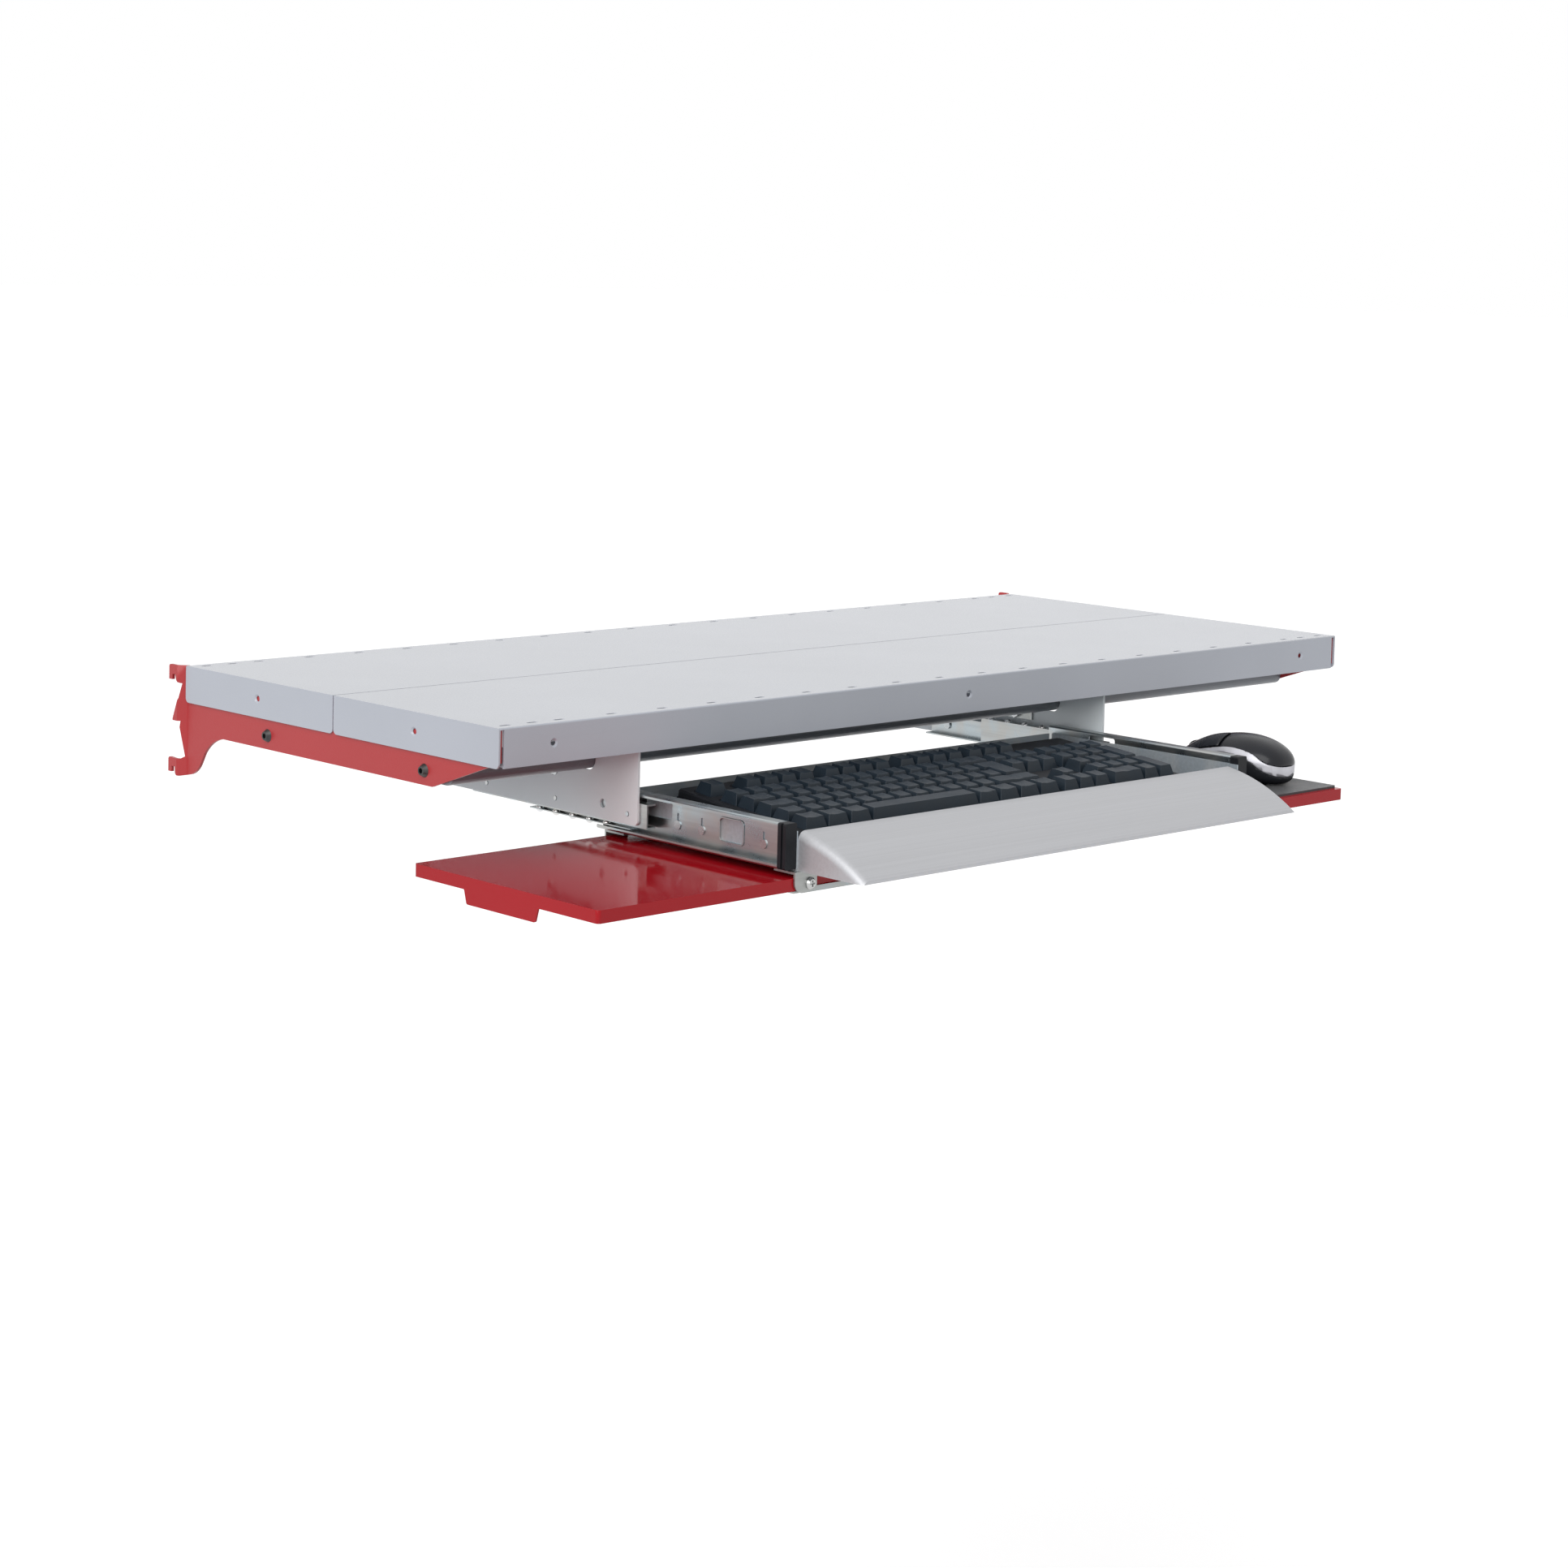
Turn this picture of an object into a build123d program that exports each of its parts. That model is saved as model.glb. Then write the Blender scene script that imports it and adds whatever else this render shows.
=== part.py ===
"""Sliding keyboard shelf: a steel bench shelf on hook-in brackets, with a pull-out tray below it.

All sizes are millimetres. X runs along the shelf, +Y points back to the uprights, +Z is up.
The origin lies on the uprights' front face, midway along the shelf, level with the shelf's top.
"""

from build123d import *
import math
import os

# Shelf
shelf_width = 1000.0
shelf_depth = 405.0
shelf_height = 30.0
shelf_sheet = 1.5
upright_gap = 10.0
seam_gap = 1.2
return_lip = 12.0
seam_flange = 20.0
corner_relief = 5.0
flange_corner_radius = 4.0
slot_pitch = 51.2
slot_steps = 19
slot_length = 10.0
slot_width = 3.0
slot_inset = 10.0
fixing_hole_d = 4.2
fixing_sink_d = 7.0
front_hole_pitch = 448.0

# Hook-in brackets
bracket_sheet = 2.5
bracket_drop = 54.0
bracket_slope_run = 78.0
bracket_nose_drop = 91.0
bracket_nose_reach = 62.0
bracket_set_out = 6.0
bracket_step = 6.0
hook_pitch = 38.0
hook_first_seat = 7.8
hook_reach = 8.0
hook_tongue = 4.5
hook_bite = 2.5
upright_wall = 3.2

# Cross beams and their screws
beam_depth = 30.0
beam_height = 15.0
beam_wall = 1.5
beam_plug = 12.0
beam_axis_drop = 43.0
front_beam_inset = 89.7
rear_beam_inset = 291.5
bracket_screw_d = 6.0
bracket_head_d = 10.5
bracket_head_h = 3.3

# Hanger plates
hanger_sheet = 2.0
hanger_span = 540.0
hanger_offset = -88.0
hanger_front_inset = 7.6
hanger_length = 314.0
hanger_bottom = 88.0
hanger_corner_radius = 4.0
hanger_slot_slack = 17.5
hanger_slot_drop = 2.0
hanger_slot_front_radius = 9.0
hanger_slot_rear_radius = 3.5
hanger_hole_ahead = 42.0
hanger_hole_drop = 76.0
hanger_hole_d = 7.0

# Clamps that hold the hangers on the beams
clamp_sheet = 2.0
clamp_length = 41.0
clamp_leg = 12.0
clamp_reach = 22.0
clamp_screw_behind = 16.0
clamp_screw_d = 5.0
clamp_head_d = 8.5
clamp_head_h = 2.6
clamp_nut_flats = 8.0
clamp_nut_h = 3.5

# Ball-bearing rails
rail_sheet = 1.2
rail_width = 12.7
rail_height = 34.0
fixed_rail_length = 210.0
moving_rail_length = 199.5
rail_axis_drop = 80.0
rail_lip = 1.8
rail_mouth_gap = 1.4
rail_front_inset = -1.0
ball_d = 6.35
ball_clearance = 0.05
ball_pitch = 20.0
ball_count = 5
cage_sheet = 0.8
cage_margin = 5.0
cage_length = 120.0
cage_behind = 82.0
cage_edge = 0.6
cage_gap = 0.3
tray_out = 140.5
tray_screw_leads = (24.5, 91.5, 118.0, 174.5)
block_tongue = 3.0
block_groove = 2.0
block_groove_lead = 3.0
block_groove_depth = 1.4
rail_window_front = 46.5
rail_window = 25.0
side_opening_front = 124.5
side_opening_length = 29.0
tray_screw_drop = 3.5
rail_screw_d = 3.5
rail_screw_head_d = 7.0
rail_screw_head_h = 0.9

# Tray pan
pan_sheet = 1.2
pan_wall = 28.0
pan_depth = 206.0
pan_front_lead = 8.5
pan_notch = 6.0

# Palm rest
palm_sheet = 2.0
palm_reach = 66.0
palm_rise = 4.4
palm_tip_lip = 2.5
palm_inset = 1.2
palm_bend = 7.0
palm_width = 502.0

# Sideways mouse plate and its guides
plate_sheet = 1.5
plate_width = 844.0
plate_depth = 206.0
plate_flange = 9.5
plate_rest_x = -112.0
plate_tab_width = 77.0
plate_tab_drop = 10.5
plate_tab_offset = 2.7
plate_gap = 3.0
plate_corner_radius = 3.0
guide_sheet = 1.5
guide_clearance = 0.4
guide_seat = 0.15
guide_lip = 12.0
guide_shelf = 22.0
guide_ear = 22.5
guide_ear_screw = 15.5
guide_ear_set_out = 5.0
guide_strip = 4.0
guide_screw_d = 5.0
guide_head_d = 9.0
guide_head_h = 2.8

# Keyboard
key_pitch = 19.05
key_skirt = 18.1
key_top = 12.6
key_height = 9.5
key_sink = 1.0
key_travel = 3.5
key_gap = 0.6
key_stem = 5.0
key_stem_engage = 1.0
key_stem_gap = 0.3
key_tilt = 5.5
key_front_lead = 35.0
keyboard_offset = 2.8
keyboard_shell = 2.0
keyboard_deck = 6.2
keyboard_side = 8.0
keyboard_front = 12.0
keyboard_back = 12.0
keyboard_foot = 1.3
keyboard_foot_d = 9.0
keyboard_front_height = 17.25
function_gap = 0.5

# Mouse mat and mouse
mat_thickness = 2.0
mat_width = 119.0
mat_depth = 190.0
mat_edge = 1.5
mouse_length = 108.0
mouse_width = 58.0
mouse_height = 40.0
mouse_nose_height = 21.0
mouse_foot = 0.8
mouse_foot_d = 10.0
mouse_side_gap = 40.5
mouse_front_gap = 27.0
mouse_band = 9.0
mouse_button_length = 52.0
mouse_part_gap = 0.6
wheel_d = 24.0
wheel_behind_nose = 11.5
wheel_centre_height = 15.0
wheel_width = 7.0
wheel_axle_d = 3.0

# Common clearance between a part and the piece that carries it
fit = 0.2
screw_slack = 0.1

# Places worked out from the sizes
half_width = shelf_width / 2
shelf_back = -upright_gap
shelf_front = shelf_back - shelf_depth
panel_depth = (shelf_depth - seam_gap) / 2
bracket_out = half_width - shelf_sheet - fit
bracket_in = bracket_out - bracket_sheet
front_beam_y = shelf_front + front_beam_inset
rear_beam_y = shelf_front + rear_beam_inset
beam_top = -beam_axis_drop + beam_height / 2
beam_bottom = -beam_axis_drop - beam_height / 2
hanger_top = -shelf_height - fit
hanger_left = hanger_offset - hanger_span / 2
hanger_right = hanger_offset + hanger_span / 2
hanger_y0 = shelf_front + hanger_front_inset
hanger_y1 = hanger_y0 + hanger_length
rail_y0 = shelf_front + rail_front_inset
rail_y1 = rail_y0 + fixed_rail_length
tray_rail_y0 = rail_y0 - tray_out
tray_rail_y1 = tray_rail_y0 + moving_rail_length
pan_y0 = tray_rail_y0 - pan_front_lead
pan_y1 = pan_y0 + pan_depth
pan_bottom = -rail_axis_drop - rail_height / 2 - 1.5
pan_top = pan_bottom + pan_wall + pan_sheet
pan_half = hanger_span / 2 - hanger_sheet - rail_width
plate_top = pan_bottom - guide_sheet - plate_gap
plate_y0 = pan_y0 - palm_sheet - fit
plate_y1 = plate_y0 + plate_depth
plate_x = plate_rest_x
guide_bottom = plate_top - plate_flange - guide_seat - guide_sheet
guide_half = pan_half + guide_ear_set_out
floor_top = pan_bottom + pan_sheet


def block(x0, x1, y0, y1, z0, z1):
    """A box between two corners."""
    centre = ((x0 + x1) / 2, (y0 + y1) / 2, (z0 + z1) / 2)
    return Pos(*centre) * Box(abs(x1 - x0), abs(y1 - y0), abs(z1 - z0))


def rod_x(radius, x0, x1, y, z):
    """A cylinder along X."""
    return Pos((x0 + x1) / 2, y, z) * Rot(0, 90, 0) * Cylinder(radius, abs(x1 - x0))


def rod_y(radius, y0, y1, x, z):
    """A cylinder along Y."""
    return Pos(x, (y0 + y1) / 2, z) * Rot(90, 0, 0) * Cylinder(radius, abs(y1 - y0))


def rod_z(radius, z0, z1, x, y):
    """A cylinder along Z."""
    return Pos(x, y, (z0 + z1) / 2) * Cylinder(radius, abs(z1 - z0))


def side_plate(outline, x0, x1):
    """Extrude an outline drawn in (y, z) from x0 to x1."""
    face = Plane.YZ.offset(min(x0, x1)) * outline
    return extrude(face, abs(x1 - x0))


def mirror_x(shape, x=0.0):
    """The same shape on the other side of a plane square to X."""
    return mirror(shape, about=Plane.YZ.offset(x))


def mirror_y(shape, y):
    """The same shape on the other side of a plane square to Y."""
    return mirror(shape, about=Plane.XZ.offset(-y))


def group(shapes):
    """Several separate solids in one node."""
    solids = []
    for shape in shapes:
        solids.extend(shape.solids())
    return Compound(children=solids)


def slot_positions():
    """X of every slot: the end steps are halved."""
    start = -slot_steps * slot_pitch / 2
    steps = [0, 0.5] + list(range(1, slot_steps)) + [slot_steps - 0.5, slot_steps]
    return [start + step * slot_pitch for step in steps]


def bench_panel():
    """Front half of the shelf: one folded sheet with a row of slots along its outer edge."""
    y0 = shelf_front
    y1 = shelf_front + panel_depth
    x1 = half_width
    flange_x = x1 - corner_relief
    panel = block(-x1, x1, y0, y1, -shelf_sheet, 0)
    panel += block(-flange_x, flange_x, y0, y0 + shelf_sheet, -shelf_height, 0)
    lip_z = -shelf_height + shelf_sheet
    panel += block(-flange_x + 3, flange_x - 3, y0, y0 + return_lip, -shelf_height, lip_z)
    seam_x = bracket_in - corner_relief
    panel += block(-seam_x, seam_x, y1 - shelf_sheet, y1, -seam_flange, 0)
    for side in (-1, 1):
        inner = side * (x1 - shelf_sheet)
        end = block(side * x1, inner, y0, y1, -shelf_height, 0)
        corners = end.edges().filter_by(Axis.X).group_by(Axis.Z)[0]
        panel += fillet(corners, flange_corner_radius)
    outer_edges = panel.edges().filter_by(Axis.X).group_by(Axis.Z)[-1].sort_by(Axis.Y)
    panel = fillet(outer_edges[0], shelf_sheet * 0.8)
    for x in slot_positions():
        slot = extrude(Pos(x, y0 + slot_inset, 0) * SlotOverall(slot_length, slot_width), -5)
        panel -= slot
    hole_z = -shelf_height / 2
    for x in (-front_hole_pitch, 0, front_hole_pitch):
        panel -= rod_y(fixing_hole_d / 2, y0 - 1, y0 + 5, x, hole_z)
        panel -= sink(fixing_hole_d, fixing_sink_d, (x, y0, hole_z), (0, 1, 0))
    hole_y = (y0 + y1) / 2
    for side in (-1, 1):
        panel -= rod_x(fixing_hole_d / 2, side * (x1 - 5), side * (x1 + 1), hole_y, hole_z)
        panel -= sink(fixing_hole_d, fixing_sink_d, (side * x1, hole_y, hole_z), (-side, 0, 0))
    return panel


def sink(hole_d, sink_d, place, inward):
    """A shallow countersink cone that starts at a face."""
    depth = (sink_d - hole_d) / 2 * 0.7
    plane = Plane(origin=place, z_dir=inward)
    return plane * Pos(0, 0, depth / 2) * Cone(sink_d / 2, hole_d / 2, depth)


def pan_head(seat, outward, head_d, head_h):
    """A screw head standing on a face: a low cylinder under a cone."""
    plane = Plane(origin=seat, z_dir=outward)
    rim = head_h * 0.4
    low = plane * Pos(0, 0, rim / 2) * Cylinder(head_d / 2, rim)
    cone_h = head_h - rim
    return low + plane * Pos(0, 0, rim + cone_h / 2) * Cone(head_d / 2, head_d * 0.36, cone_h)


def hook_seats():
    """Z of the slot edges that the three hooks rest on."""
    return [-hook_first_seat - index * hook_pitch for index in range(3)]


def bracket_outline():
    """Side view of a bracket: arm, sloped toe, curved root and the three hooks."""
    top = -shelf_sheet - fit
    front = shelf_front + shelf_sheet + fit
    low = -bracket_drop
    toe = front + bracket_slope_run
    seat_1, seat_2, seat_3 = hook_seats()
    root = shelf_back + fit
    tip = hook_reach
    nose = -bracket_nose_drop
    reach = -bracket_nose_reach
    with BuildSketch() as sketch:
        with BuildLine():
            Polyline((front, top), (root, top), (root, 0), (tip - 2, 0))
            ThreePointArc((tip - 2, 0), (tip - 0.6, -0.6), (tip, -2))
            Polyline(
                (tip, -2),
                (tip, seat_1 - hook_tongue),
                (upright_wall, seat_1 - hook_tongue),
                (upright_wall, seat_1),
                (-0.6, seat_1),
                (-1.5, seat_1 - 3),
            )
            ThreePointArc((-1.5, seat_1 - 3), (-3.2, seat_1 - 5.6), (-6.8, seat_1 - 7))
            Polyline(
                (-6.8, seat_1 - 7),
                (-4.6, seat_1 - 19),
                (hook_bite, seat_2 + 1.5),
                (hook_bite, seat_2),
                (-5.9, seat_2),
                (-5.4, seat_2 - 5),
                (-8.8, seat_3 + 9),
                (-5.8, seat_3 + 6.8),
                (tip - 2, seat_3 + 7.4),
            )
            ThreePointArc((tip - 2, seat_3 + 7.4), (tip - 0.6, seat_3 + 6.8), (tip, seat_3 + 5.4))
            Polyline(
                (tip, seat_3 + 5.4),
                (tip, seat_3 - hook_tongue),
                (upright_wall, seat_3 - hook_tongue),
                (upright_wall, seat_3),
                (-1.3, seat_3),
                (-1.8, nose + 2),
            )
            ThreePointArc((-1.8, nose + 2), (-3.2, nose + 0.5), (-6, nose))
            Line((-6, nose), (-14, nose + 1.7))
            ThreePointArc((-14, nose + 1.7), (-23, nose + 5.4), (-29.5, nose + 12))
            Line((-29.5, nose + 12), (-35.5, nose + 22))
            ThreePointArc((-35.5, nose + 22), (-45.5, low - 6), (reach, low))
            Polyline((reach, low), (toe, low), (front, low + 28), (front, top))
        make_face()
    return sketch.sketch


def bracket():
    """Left bracket: a flat plate whose hook end steps outwards to the uprights' slots."""
    reach = hook_reach + 1
    flat_end = shelf_back + fit
    step_end = flat_end + bracket_step
    outer = -bracket_out
    inner = -bracket_in
    shift = bracket_set_out
    with BuildSketch() as plan:
        with BuildLine():
            Polyline(
                (outer, shelf_front),
                (outer, flat_end),
                (outer - shift, step_end),
                (outer - shift, reach),
                (inner - shift, reach),
                (inner - shift, step_end + 0.8),
                (inner, flat_end + 0.8),
                (inner, shelf_front),
                (outer, shelf_front),
            )
        make_face()
    plate = Pos(0, 0, -bracket_nose_drop - 2) * extrude(plan.sketch, bracket_nose_drop + 4)
    shape = plate & side_plate(bracket_outline(), outer - shift - 1, inner + 1)
    for y in (front_beam_y, rear_beam_y):
        shape -= rod_x(bracket_screw_d / 2 + fit, outer - 1, inner + 1, y, -beam_axis_drop)
    return shape


def bracket_screw(y):
    """Button-head screw with a hex socket, through the left bracket into a beam."""
    outer = -bracket_out
    z = -beam_axis_drop
    radius = bracket_screw_d / 2 - screw_slack
    shaft = rod_x(radius, outer, -bracket_in + beam_plug - 2, y, z)
    head = Plane(origin=(outer, y, z), z_dir=(-1, 0, 0)) * Pos(0, 0, bracket_head_h / 2)
    head = head * Cone(bracket_head_d / 2, bracket_head_d * 0.32, bracket_head_h)
    socket = Plane(origin=(outer - bracket_head_h, y, z), z_dir=(1, 0, 0))
    recess = extrude(socket * RegularPolygon(2.3, 6), 2.2)
    return shaft + head - recess


def beam(y):
    """Rectangular tube between the brackets, with a threaded plug in each end."""
    half_d = beam_depth / 2
    tube = block(-bracket_in, bracket_in, y - half_d, y + half_d, beam_bottom, beam_top)
    long_edges = tube.edges().filter_by(Axis.X)
    tube = fillet(long_edges, beam_wall)
    inner = bracket_in - beam_plug
    half_i = half_d - beam_wall
    tube -= block(-inner, inner, y - half_i, y + half_i, beam_bottom + beam_wall, beam_top - beam_wall)
    for side in (-1, 1):
        x0 = side * bracket_in
        tube -= rod_x(bracket_screw_d / 2, x0 + side, side * inner, y, -beam_axis_drop)
    return tube


def hanger_slot(y):
    """Rounded opening in a hanger that a beam passes through, with slack for hooking it on."""
    y0 = y - beam_depth / 2 - hanger_slot_slack
    y1 = y + beam_depth / 2 + fit
    z0 = beam_bottom - hanger_slot_drop
    z1 = beam_top + fit
    opening = block(hanger_left - 1, hanger_left + hanger_sheet + 1, y0, y1, z0, z1)
    corners = opening.edges().filter_by(Axis.X).group_by(Axis.Z)[0].sort_by(Axis.Y)
    opening = fillet(corners[0], hanger_slot_front_radius)
    corners = opening.edges().filter_by(Axis.X).group_by(Axis.Z)[0].sort_by(Axis.Y)
    return fillet(corners[-1], hanger_slot_rear_radius)


def clamp_axis_z():
    """Height of the clamp screws, centred on the clamp's upright leg."""
    return beam_bottom - fit - clamp_leg * 0.6


def hanger():
    """Left hanger plate: hangs on both beams and carries the fixed rail."""
    x0 = hanger_left
    x1 = hanger_left + hanger_sheet
    plate = block(x0, x1, hanger_y0, hanger_y1, -hanger_bottom, hanger_top)
    corners = plate.edges().filter_by(Axis.X).group_by(Axis.Z)[0]
    plate = fillet(corners, hanger_corner_radius)
    for y in (front_beam_y, rear_beam_y):
        plate -= hanger_slot(y)
        clamp_y = y + clamp_screw_behind
        plate -= rod_x(clamp_screw_d / 2 + fit, x0 - 1, x1 + 1, clamp_y, clamp_axis_z())
        hole_y = y - hanger_hole_ahead
        plate -= rod_x(hanger_hole_d / 2, x0 - 1, x1 + 1, hole_y, -hanger_hole_drop)
    for y in rail_screw_places(rail_y0):
        plate -= rod_x(rail_screw_d / 2 + fit, x0 - 1, x1 + 1, y, -rail_axis_drop)
    return plate


def clamp(y):
    """Folded clamp: one leg on the hanger, the other pressed up under the beam."""
    x1 = hanger_left + hanger_sheet
    y0 = y - 2
    y1 = y0 + clamp_length
    z1 = beam_bottom - fit
    upright = block(x1, x1 + clamp_sheet, y0, y1, z1 - clamp_leg, z1)
    ledge = block(x1, x1 + clamp_reach, y0, y1, z1 - clamp_sheet, z1)
    shape = upright + ledge
    hole_y = y + clamp_screw_behind
    return shape - rod_x(clamp_screw_d / 2 + fit, x1 - 1, x1 + 5, hole_y, clamp_axis_z())


def clamp_screw(y):
    """Pan-head screw from the outside of the hanger through the clamp."""
    y = y + clamp_screw_behind
    z = clamp_axis_z()
    x0 = hanger_left
    radius = clamp_screw_d / 2 - screw_slack
    shaft = rod_x(radius, x0, x0 + hanger_sheet + clamp_sheet + clamp_nut_h + 1.5, y, z)
    head = pan_head((x0, y, z), (-1, 0, 0), clamp_head_d, clamp_head_h)
    slot_x = x0 - clamp_head_h
    cross = block(slot_x, slot_x + 1.2, y - 2, y + 2, z - 0.5, z + 0.5)
    cross += block(slot_x, slot_x + 1.2, y - 0.5, y + 0.5, z - 2, z + 2)
    return shaft + head - cross


def clamp_nut(y):
    """Hexagon nut on the inside of the clamp."""
    y = y + clamp_screw_behind
    x0 = hanger_left + hanger_sheet + clamp_sheet
    plane = Plane(origin=(x0, y, clamp_axis_z()), z_dir=(1, 0, 0))
    body = extrude(plane * RegularPolygon(clamp_nut_flats / math.sqrt(3), 6), clamp_nut_h)
    return body - rod_x(clamp_screw_d / 2, x0 - 1, x0 + clamp_nut_h + 1, y, clamp_axis_z())


def rail_screw_places(y0):
    """Y of the three screws along a rail."""
    return [y0 + 20, y0 + fixed_rail_length / 2, y0 + fixed_rail_length - 20]


def race_height():
    """Half height of the fixed rail's ball tracks."""
    return rail_height / 2 - rail_sheet - ball_d - 2 * ball_clearance


def fixed_rail():
    """Left fixed rail: a small channel screwed to the hanger, its flanges are the inner ball tracks."""
    x0 = hanger_left + hanger_sheet
    depth = rail_width - rail_sheet - rail_screw_head_h - cage_sheet - 3 * cage_gap
    half = race_height()
    z = -rail_axis_drop
    rail = block(x0, x0 + depth, rail_y0, rail_y1, z - half, z + half)
    inner = half - rail_sheet
    rail -= block(x0 + rail_sheet, x0 + depth + 1, rail_y0 - 1, rail_y1 + 1, z - inner, z + inner)
    for y in rail_screw_places(rail_y0):
        rail -= rod_x(rail_screw_d / 2 + fit, x0 - 1, x0 + 3, y, z)
    return rail


def fixed_rail_screw(y):
    """Flat screw from inside the fixed rail into the hanger."""
    x0 = hanger_left
    x1 = x0 + hanger_sheet + rail_sheet
    shaft = rod_x(rail_screw_d / 2 - screw_slack, x0 - 0.4, x1, y, -rail_axis_drop)
    head = rod_x(rail_screw_head_d / 2, x1, x1 + 1.6, y, -rail_axis_drop)
    return shaft + head


def moving_rail():
    """Left moving rail: the large channel round the fixed one, its web carries the tray pan."""
    web_out = hanger_left + hanger_sheet + rail_width
    mouth = hanger_left + hanger_sheet + rail_mouth_gap
    half = rail_height / 2
    z = -rail_axis_drop
    y0 = tray_rail_y0
    y1 = tray_rail_y1
    rail = block(mouth, web_out, y0, y1, z - half, z + half)
    corners = rail.edges().filter_by(Axis.Y)
    rail = fillet(corners, 1.6)
    inner = half - rail_sheet
    rail -= block(mouth + rail_sheet, web_out - rail_sheet, y0 - 1, y1 + 1, z - inner, z + inner)
    gap = inner - rail_lip
    rail -= block(mouth - 1, mouth + 2, y0 - 1, y1 + 1, z - gap, z + gap)
    web_in = web_out - rail_sheet - 1
    window_y = y0 + rail_window_front
    window = block(web_in, web_out + 1, window_y, window_y + rail_window, z - 8, z + 9)
    rail -= fillet(window.edges().filter_by(Axis.X), 3)
    rail -= side_opening(web_in, web_out + 1)
    for y in tray_screw_places():
        rail -= rod_x(rail_screw_d / 2 + fit, web_in, web_out + 1, y, tray_screw_z())
        rail -= block(web_in, web_out + 1, y - 1, y + 1, tray_screw_z() + 2, tray_screw_z() + 9)
    return rail


def side_opening(x0, x1):
    """Rounded cut through the moving rail's web and the pan's wall behind it."""
    y0 = tray_rail_y0 + side_opening_front
    z0 = -rail_axis_drop - 1
    z1 = -rail_axis_drop + rail_height / 2 - rail_sheet - 1
    cut = block(x0, x1, y0, y0 + side_opening_length, z0, z1)
    return fillet(cut.edges().filter_by(Axis.X), 2)


def tray_screw_places():
    """Y of the screws that hold the pan to a moving rail, at the key-shaped holes."""
    return [tray_rail_y0 + lead for lead in tray_screw_leads]


def tray_screw_z():
    """Height of those screws, a little under the rail's middle."""
    return -rail_axis_drop - tray_screw_drop


def tray_screw(y):
    """Flat screw from the rail's channel into the pan's wall."""
    web_out = hanger_left + hanger_sheet + rail_width
    z = tray_screw_z()
    x0 = web_out - rail_sheet
    shaft = rod_x(rail_screw_d / 2 - screw_slack, x0, web_out + pan_sheet + 0.6, y, z)
    head = rod_x(rail_screw_head_d / 2, x0 - rail_screw_head_h, x0, y, z)
    return shaft + head


def cage_span():
    """Y limits of a ball cage, part of which shows behind the moving rail while the tray is out."""
    y1 = tray_rail_y1 + cage_behind
    return y1 - cage_length, y1


def ball_places():
    """Centres of the left rail's balls, in two rows."""
    y1 = cage_span()[1] - cage_margin - ball_d / 2
    x = hanger_left + hanger_sheet + rail_width / 2 - cage_gap
    offset = race_height() + ball_clearance + ball_d / 2
    places = []
    for row in (-1, 1):
        for index in range(ball_count):
            places.append((x, y1 - index * ball_pitch, -rail_axis_drop + row * offset))
    return places


def ball_cage():
    """Left ball cage: a thin strip folded to a channel, with a hole for each ball."""
    y0, y1 = cage_span()
    web_out = hanger_left + hanger_sheet + rail_width - rail_sheet - rail_screw_head_h - cage_gap
    x0 = ball_places()[0][0] - ball_d / 2 - ball_clearance - cage_edge
    half = race_height() + ball_clearance + ball_d / 2 + cage_sheet / 2
    z = -rail_axis_drop
    cage = block(x0, web_out, y0, y1, z - half, z + half)
    inner = half - cage_sheet
    cage -= block(x0 - 1, web_out - cage_sheet, y0 - 1, y1 + 1, z - inner, z + inner)
    radius = ball_d / 2 + ball_clearance
    for x, y, ball_z in ball_places():
        cage -= rod_z(radius, ball_z - 1, ball_z + 1, x, y)
    return cage


def balls():
    """The left rail's steel balls."""
    return group([Pos(*place) * Sphere(ball_d / 2) for place in ball_places()])


def tray_pan():
    """Folded steel pan between the moving rails: floor, back and side walls."""
    x0 = hanger_offset - pan_half
    x1 = hanger_offset + pan_half
    pan = block(x0, x1, pan_y0, pan_y1, pan_bottom, pan_top)
    pan -= block(x0 + pan_sheet, x1 - pan_sheet, pan_y0 - 1, pan_y1 - pan_sheet, floor_top, pan_top + 1)
    for x in (x0, x1):
        notch = rod_z(pan_notch / 2, pan_top - pan_notch, pan_top + 1, x, pan_y1)
        pan -= notch
    for y in tray_screw_places():
        pan -= rod_x(rail_screw_d / 2, x0 - 1, x0 + 3, y, tray_screw_z())
        pan -= rod_x(rail_screw_d / 2, x1 - 3, x1 + 1, y, tray_screw_z())
    pan -= side_opening(x0 - 1, x0 + 3)
    pan -= side_opening(x1 - 3, x1 + 1)
    for x in guide_screw_places():
        for y in guide_screw_rows():
            pan -= rod_z(guide_screw_d / 2 + fit, pan_bottom - 1, floor_top + 1, x, y)
    return pan


def guide_screw_places():
    """X of the screws that hold a guide under the pan."""
    return [hanger_offset - pan_half * 0.7, hanger_offset, hanger_offset + pan_half * 0.7]


def guide_screw_rows():
    """Y of the screw rows of the front and the rear guide."""
    inset = guide_shelf * 0.55
    return [plate_y0 + inset, plate_y1 - inset]


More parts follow.
